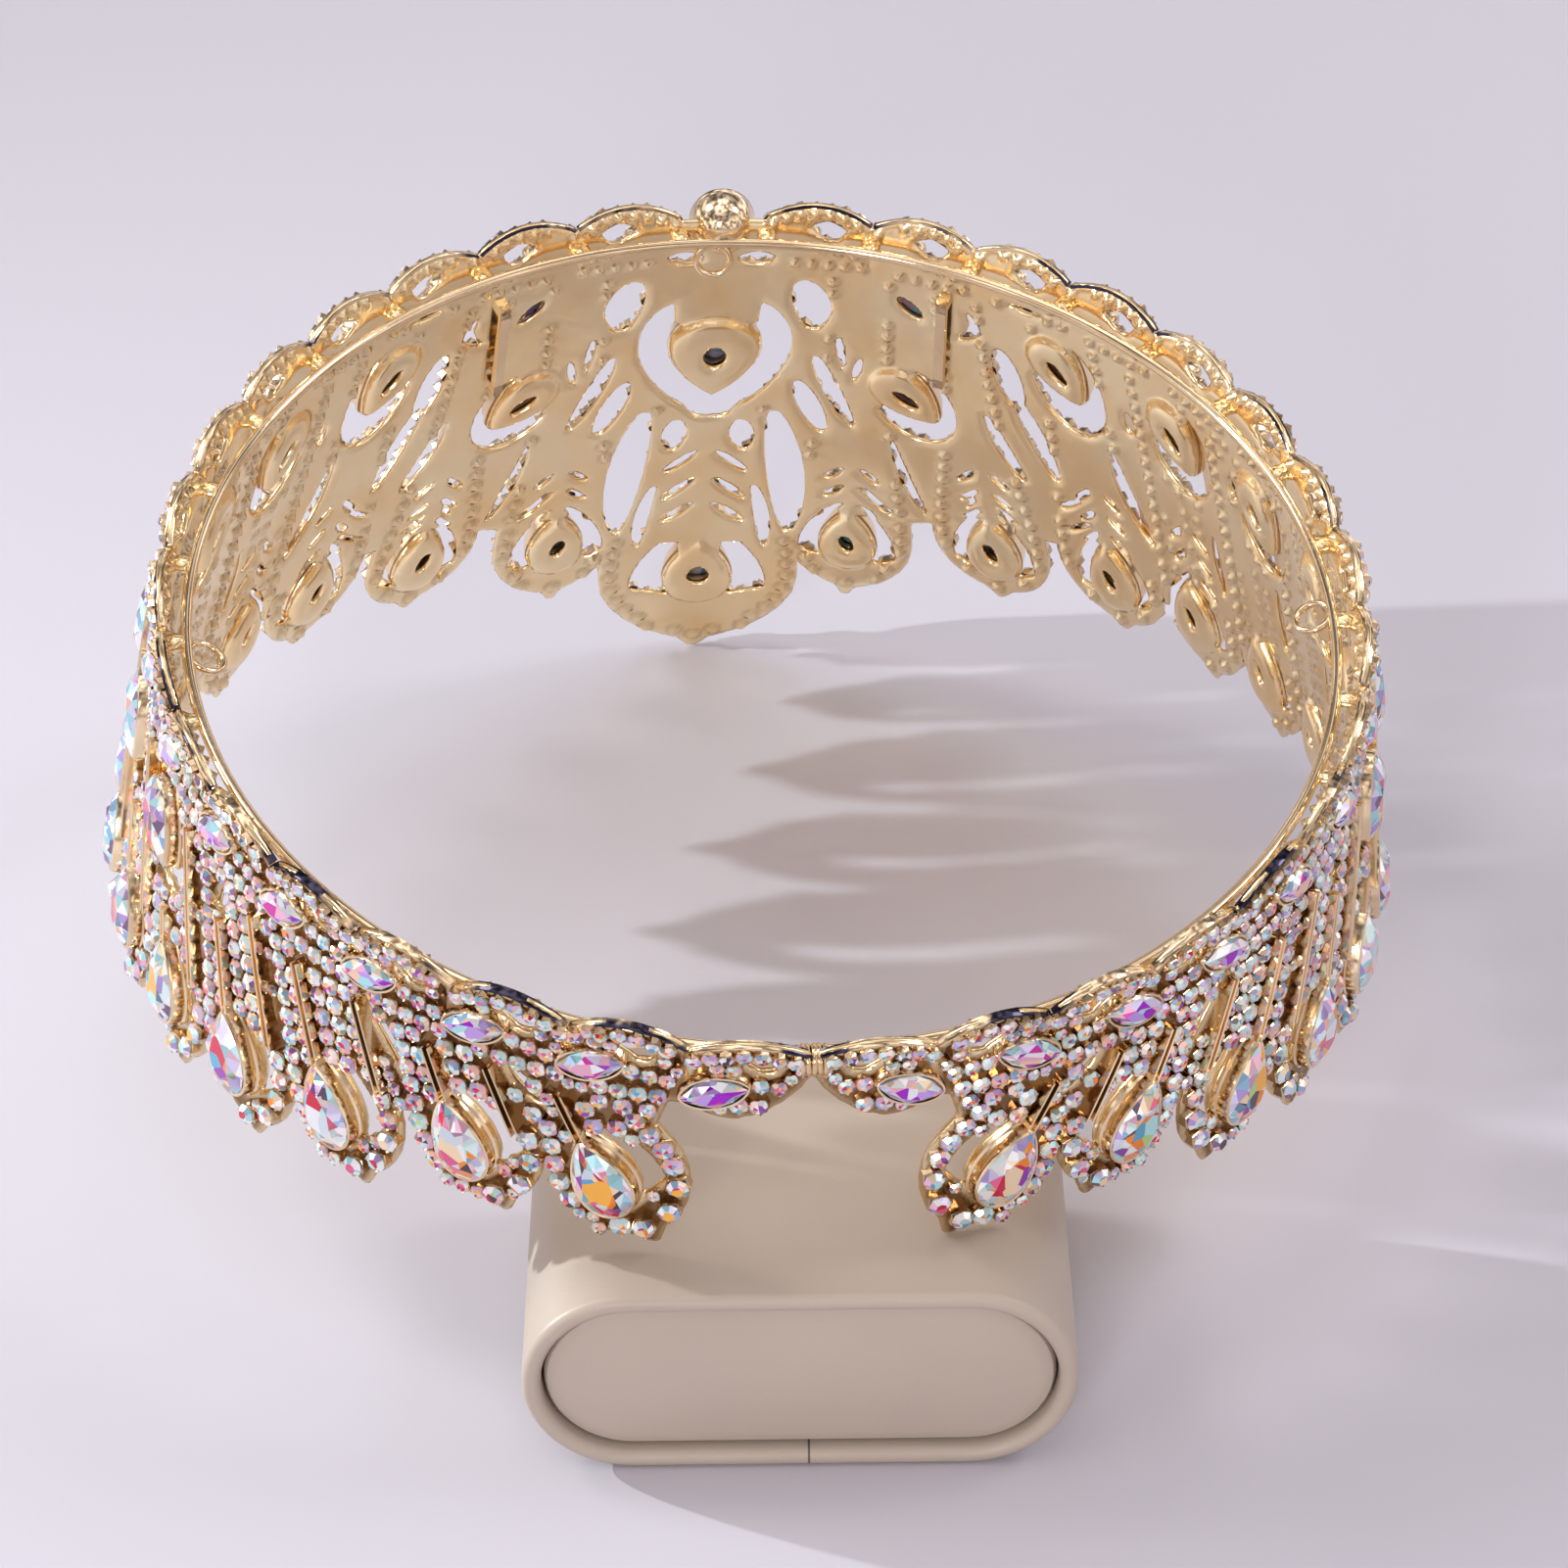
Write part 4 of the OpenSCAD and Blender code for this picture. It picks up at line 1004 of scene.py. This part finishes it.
seat_table = np.array(seats)
seat_gold = gold("seat_gold", (0.84, 0.64, 0.41), (0.36, 0.24, 0.14), 0.18, 900, 0.2)
dice = random.Random(7)
STONE_LIFT, TIP_LIFT = WALL_T / 2 + 0.5, WALL_T / 2 + 0.65
STONE = [(same(0.48), same(-0.14)), (same(0.545), same(0.0)), (same(0.32), same(0.2))]
COLLAR = [((0.58, 0.55), (-0.5, -0.5)), ((0.58, 0.54), (0.0, -0.16)), ((0.53, 0.51), (0.11, -0.1)),
          (same(0.46), (0.07, -0.16)), (same(0.46), same(-0.4))]
for name, mirrored in SIDES:
    small = seat_table[big_count:]
    points, faces = stamped(STONE, 0.215, small, mirrored, np.full(len(small), STONE_LIFT))
    piece = mesh_piece("small_stones_" + name, points, faces, small_crystal, smooth=False)
    # Share of the core's colour in a stone's faces: under its girdle, round its table, table and back.
    of_stone = [0.0] * 8 + [0.35] * 8 + [1.0] * 8 + [0.0]
    moods = [dice.random() for _ in small]
    for word, values in (("fire", [(mood + 0.45 * dice.random()) % 1 for mood in moods for _ in of_stone]),
                         ("core", [part * dice.choice((0.5, 1, 1)) for _ in small for part in of_stone])):
        attribute = piece.data.attributes.new(word, "FLOAT", "FACE")
        attribute.data.foreach_set("value", values)
    lifts = np.where(np.arange(len(seat_table)) < big_count, TIP_LIFT + 0.1 * seat_table[:, 2], STONE_LIFT)
    points, faces = stamped(COLLAR, None, seat_table, mirrored, lifts)
    mesh_piece("collars_" + name, points, faces, seat_gold, smooth=False)


# Big stones: pears, marquises, heart, round and the largest rhinestones. The same coated glass, cut
# larger, so each shows its own core of colour under the table and pale facets round it.
FACET_TURN, FACET_SPREAD, TABLE_FLAT = 3.1, 400, (0.78, 0.88)


def vector_maths(tree, operation, *values):
    return add_node(tree, "ShaderNodeVectorMath", dict(enumerate(values)), operation=operation)


def facet_fire(tree):
    """A colour for each facet, from its place and facing, and how squarely it faces out as a table does."""
    place = add_node(tree, "ShaderNodeTexCoord").outputs["Object"]
    facing = add_node(tree, "ShaderNodeNewGeometry").outputs["True Normal"]
    turn = vector_maths(tree, "MULTIPLY", facing, (FACET_TURN,) * 3).outputs[0]
    spread = vector_maths(tree, "MULTIPLY", place, (FACET_SPREAD,) * 3).outputs[0]
    both = vector_maths(tree, "ADD", spread, turn).outputs[0]
    shards = add_node(tree, "ShaderNodeTexVoronoi", {"Vector": both, "Scale": 1.0, "Randomness": 1.0})
    value = add_node(tree, "ShaderNodeSeparateColor", {"Color": shards.outputs["Color"]}).outputs[0]
    outward = vector_maths(tree, "SUBTRACT", place, tuple(CROWN_CENTRE * MM)).outputs[0]
    outward = vector_maths(tree, "MULTIPLY", outward, (1, 1, 0.1)).outputs[0]
    outward = vector_maths(tree, "NORMALIZE", outward).outputs[0]
    flatness = vector_maths(tree, "DOT_PRODUCT", outward, facing).outputs["Value"]
    table = add_node(tree, "ShaderNodeMapRange", {
        "Value": flatness, "From Min": TABLE_FLAT[0], "From Max": TABLE_FLAT[1]}).outputs["Result"]
    return value, table


large_crystal = crystal("large_crystal", 0.5, facet_fire, WARM_FIRE)
violet_crystal = crystal("violet_crystal", 0.5, facet_fire, VIOLET_FIRE)
STONES = ("pear", "heart_stone", "round_stone", "marquises", "rhinestones")
for name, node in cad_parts.items():
    if any(word in name for word in STONES):
        node.data.materials.clear()
        node.data.materials.append(violet_crystal if "marquises" in name else large_crystal)

# Stand: a short tube of board covered in leatherette, drawn round its rims, with a padded core pushed
# into it from both ends. The cover is joined by a butt seam under the near rim.
STAND = {"x": 6.41, "y": -70.85, "wide": 69.0, "deep": 52.0, "high": 27.3,
         "wall": 2.4, "inset": 1.6, "gap": 0.3}
SEAM_X, SEAM_HALF, SEAM_HIGH, SEAM_COLOUR = 0.0074, 0.00014, 0.006, (0.10, 0.08, 0.07, 1)


def maths(tree, operation, *values):
    return add_node(tree, "ShaderNodeMath", dict(enumerate(values)), operation=operation).outputs[0]


def leatherette(name, colour, shade, seam):
    material, tree, shader = new_material(name)
    place = add_node(tree, "ShaderNodeTexCoord").outputs["Object"]
    cloud = add_node(tree, "ShaderNodeTexNoise", {"Vector": place, "Scale": 30, "Detail": 3})
    tone = ramp(tree, cloud.outputs["Fac"], [(0.3, shade), (0.7, colour)])
    if seam:
        parts = add_node(tree, "ShaderNodeSeparateXYZ", {"Vector": place})
        off = maths(tree, "SUBTRACT", parts.outputs["X"], SEAM_X)
        near = maths(tree, "ABSOLUTE", off)
        line = maths(tree, "LESS_THAN", near, SEAM_HALF)
        low = maths(tree, "LESS_THAN", parts.outputs["Z"], SEAM_HIGH)
        on_seam = maths(tree, "MULTIPLY", line, low)
        tone = add_node(tree, "ShaderNodeMix", {"Factor": on_seam, "A": tone, "B": SEAM_COLOUR},
                        data_type="RGBA").outputs["Result"]
    tree.links.new(tone, shader.inputs["Base Color"])
    grain = add_node(tree, "ShaderNodeTexVoronoi", {"Vector": place, "Scale": 1500, "Smoothness": 0.6},
                     feature="SMOOTH_F1")
    relief = add_node(tree, "ShaderNodeBump", {
        "Height": grain.outputs["Distance"], "Strength": 0.18, "Distance": 0.0001})
    tree.links.new(relief.outputs["Normal"], shader.inputs["Normal"])
    shader.inputs["Roughness"].default_value = 0.42
    return material


cover = leatherette("leatherette_cover", (0.475, 0.395, 0.33), (0.44, 0.365, 0.305), seam=True)
core_cover = leatherette("leatherette_core", (0.485, 0.405, 0.34), (0.45, 0.375, 0.315), seam=False)


def stadium(wide, high, count=28):
    """Round-ended outline in x and z, counted the same way round for every size."""
    r, half = high / 2, (wide - high) / 2
    turn = np.concatenate([np.linspace(-90, 90, count), np.linspace(90, 270, count)])
    shift = np.repeat([half, -half], count)
    return np.stack([shift + r * np.cos(np.radians(turn)), r * np.sin(np.radians(turn))], -1)


def loft(name, sections, closed, material):
    """A piece from outlines (wide, high, y), joined in order, and ended by faces unless closed."""
    points, faces = [], []
    count = len(stadium(2, 1))
    for wide, high, y in sections:
        for x, z in stadium(wide, high):
            points.append((STAND["x"] + x, STAND["y"] + y, STAND["high"] / 2 + z))
    for k in range(len(sections) if closed else len(sections) - 1):
        a, b = k * count, (k + 1) % len(sections) * count
        faces += [[a + i, a + (i + 1) % count, b + (i + 1) % count, b + i] for i in range(count)]
    if not closed:
        faces += [list(range(count)), list(range((len(sections) - 1) * count, len(sections) * count))]
    return joined(name, [(np.array(points, float), faces)], material, angle=35)


w, h, t, half = STAND["wide"], STAND["high"], STAND["wall"], STAND["deep"] / 2
rim = [(t / 2 * (1 - math.cos(a)), t / 2 * (1 - math.sin(a))) for a in np.radians(np.linspace(0, 180, 11))]
sections = [(w - 2 * i, h - 2 * i, -half + back) for i, back in rim]
sections += [(w - 2 * i, h - 2 * i, half - back) for i, back in rim[::-1]]
sleeve = loft("stand_cover", sections, True, cover)
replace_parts(sleeve, "stand_sleeve")

i, face = t + STAND["gap"], half - STAND["inset"]
soft = [(2.2, 0.55), (1.1, 0.2), (0.45, 0.0), (0.1, -0.5), (0, -1.4)]
sections = [(w - 2 * (i + a), h - 2 * (i + a), -face + 0.15 - b) for a, b in soft]
sections += [(x, z, -y) for x, z, y in sections[::-1]]
core = loft("stand_padding", sections, False, core_cover)
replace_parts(core, "stand_core")
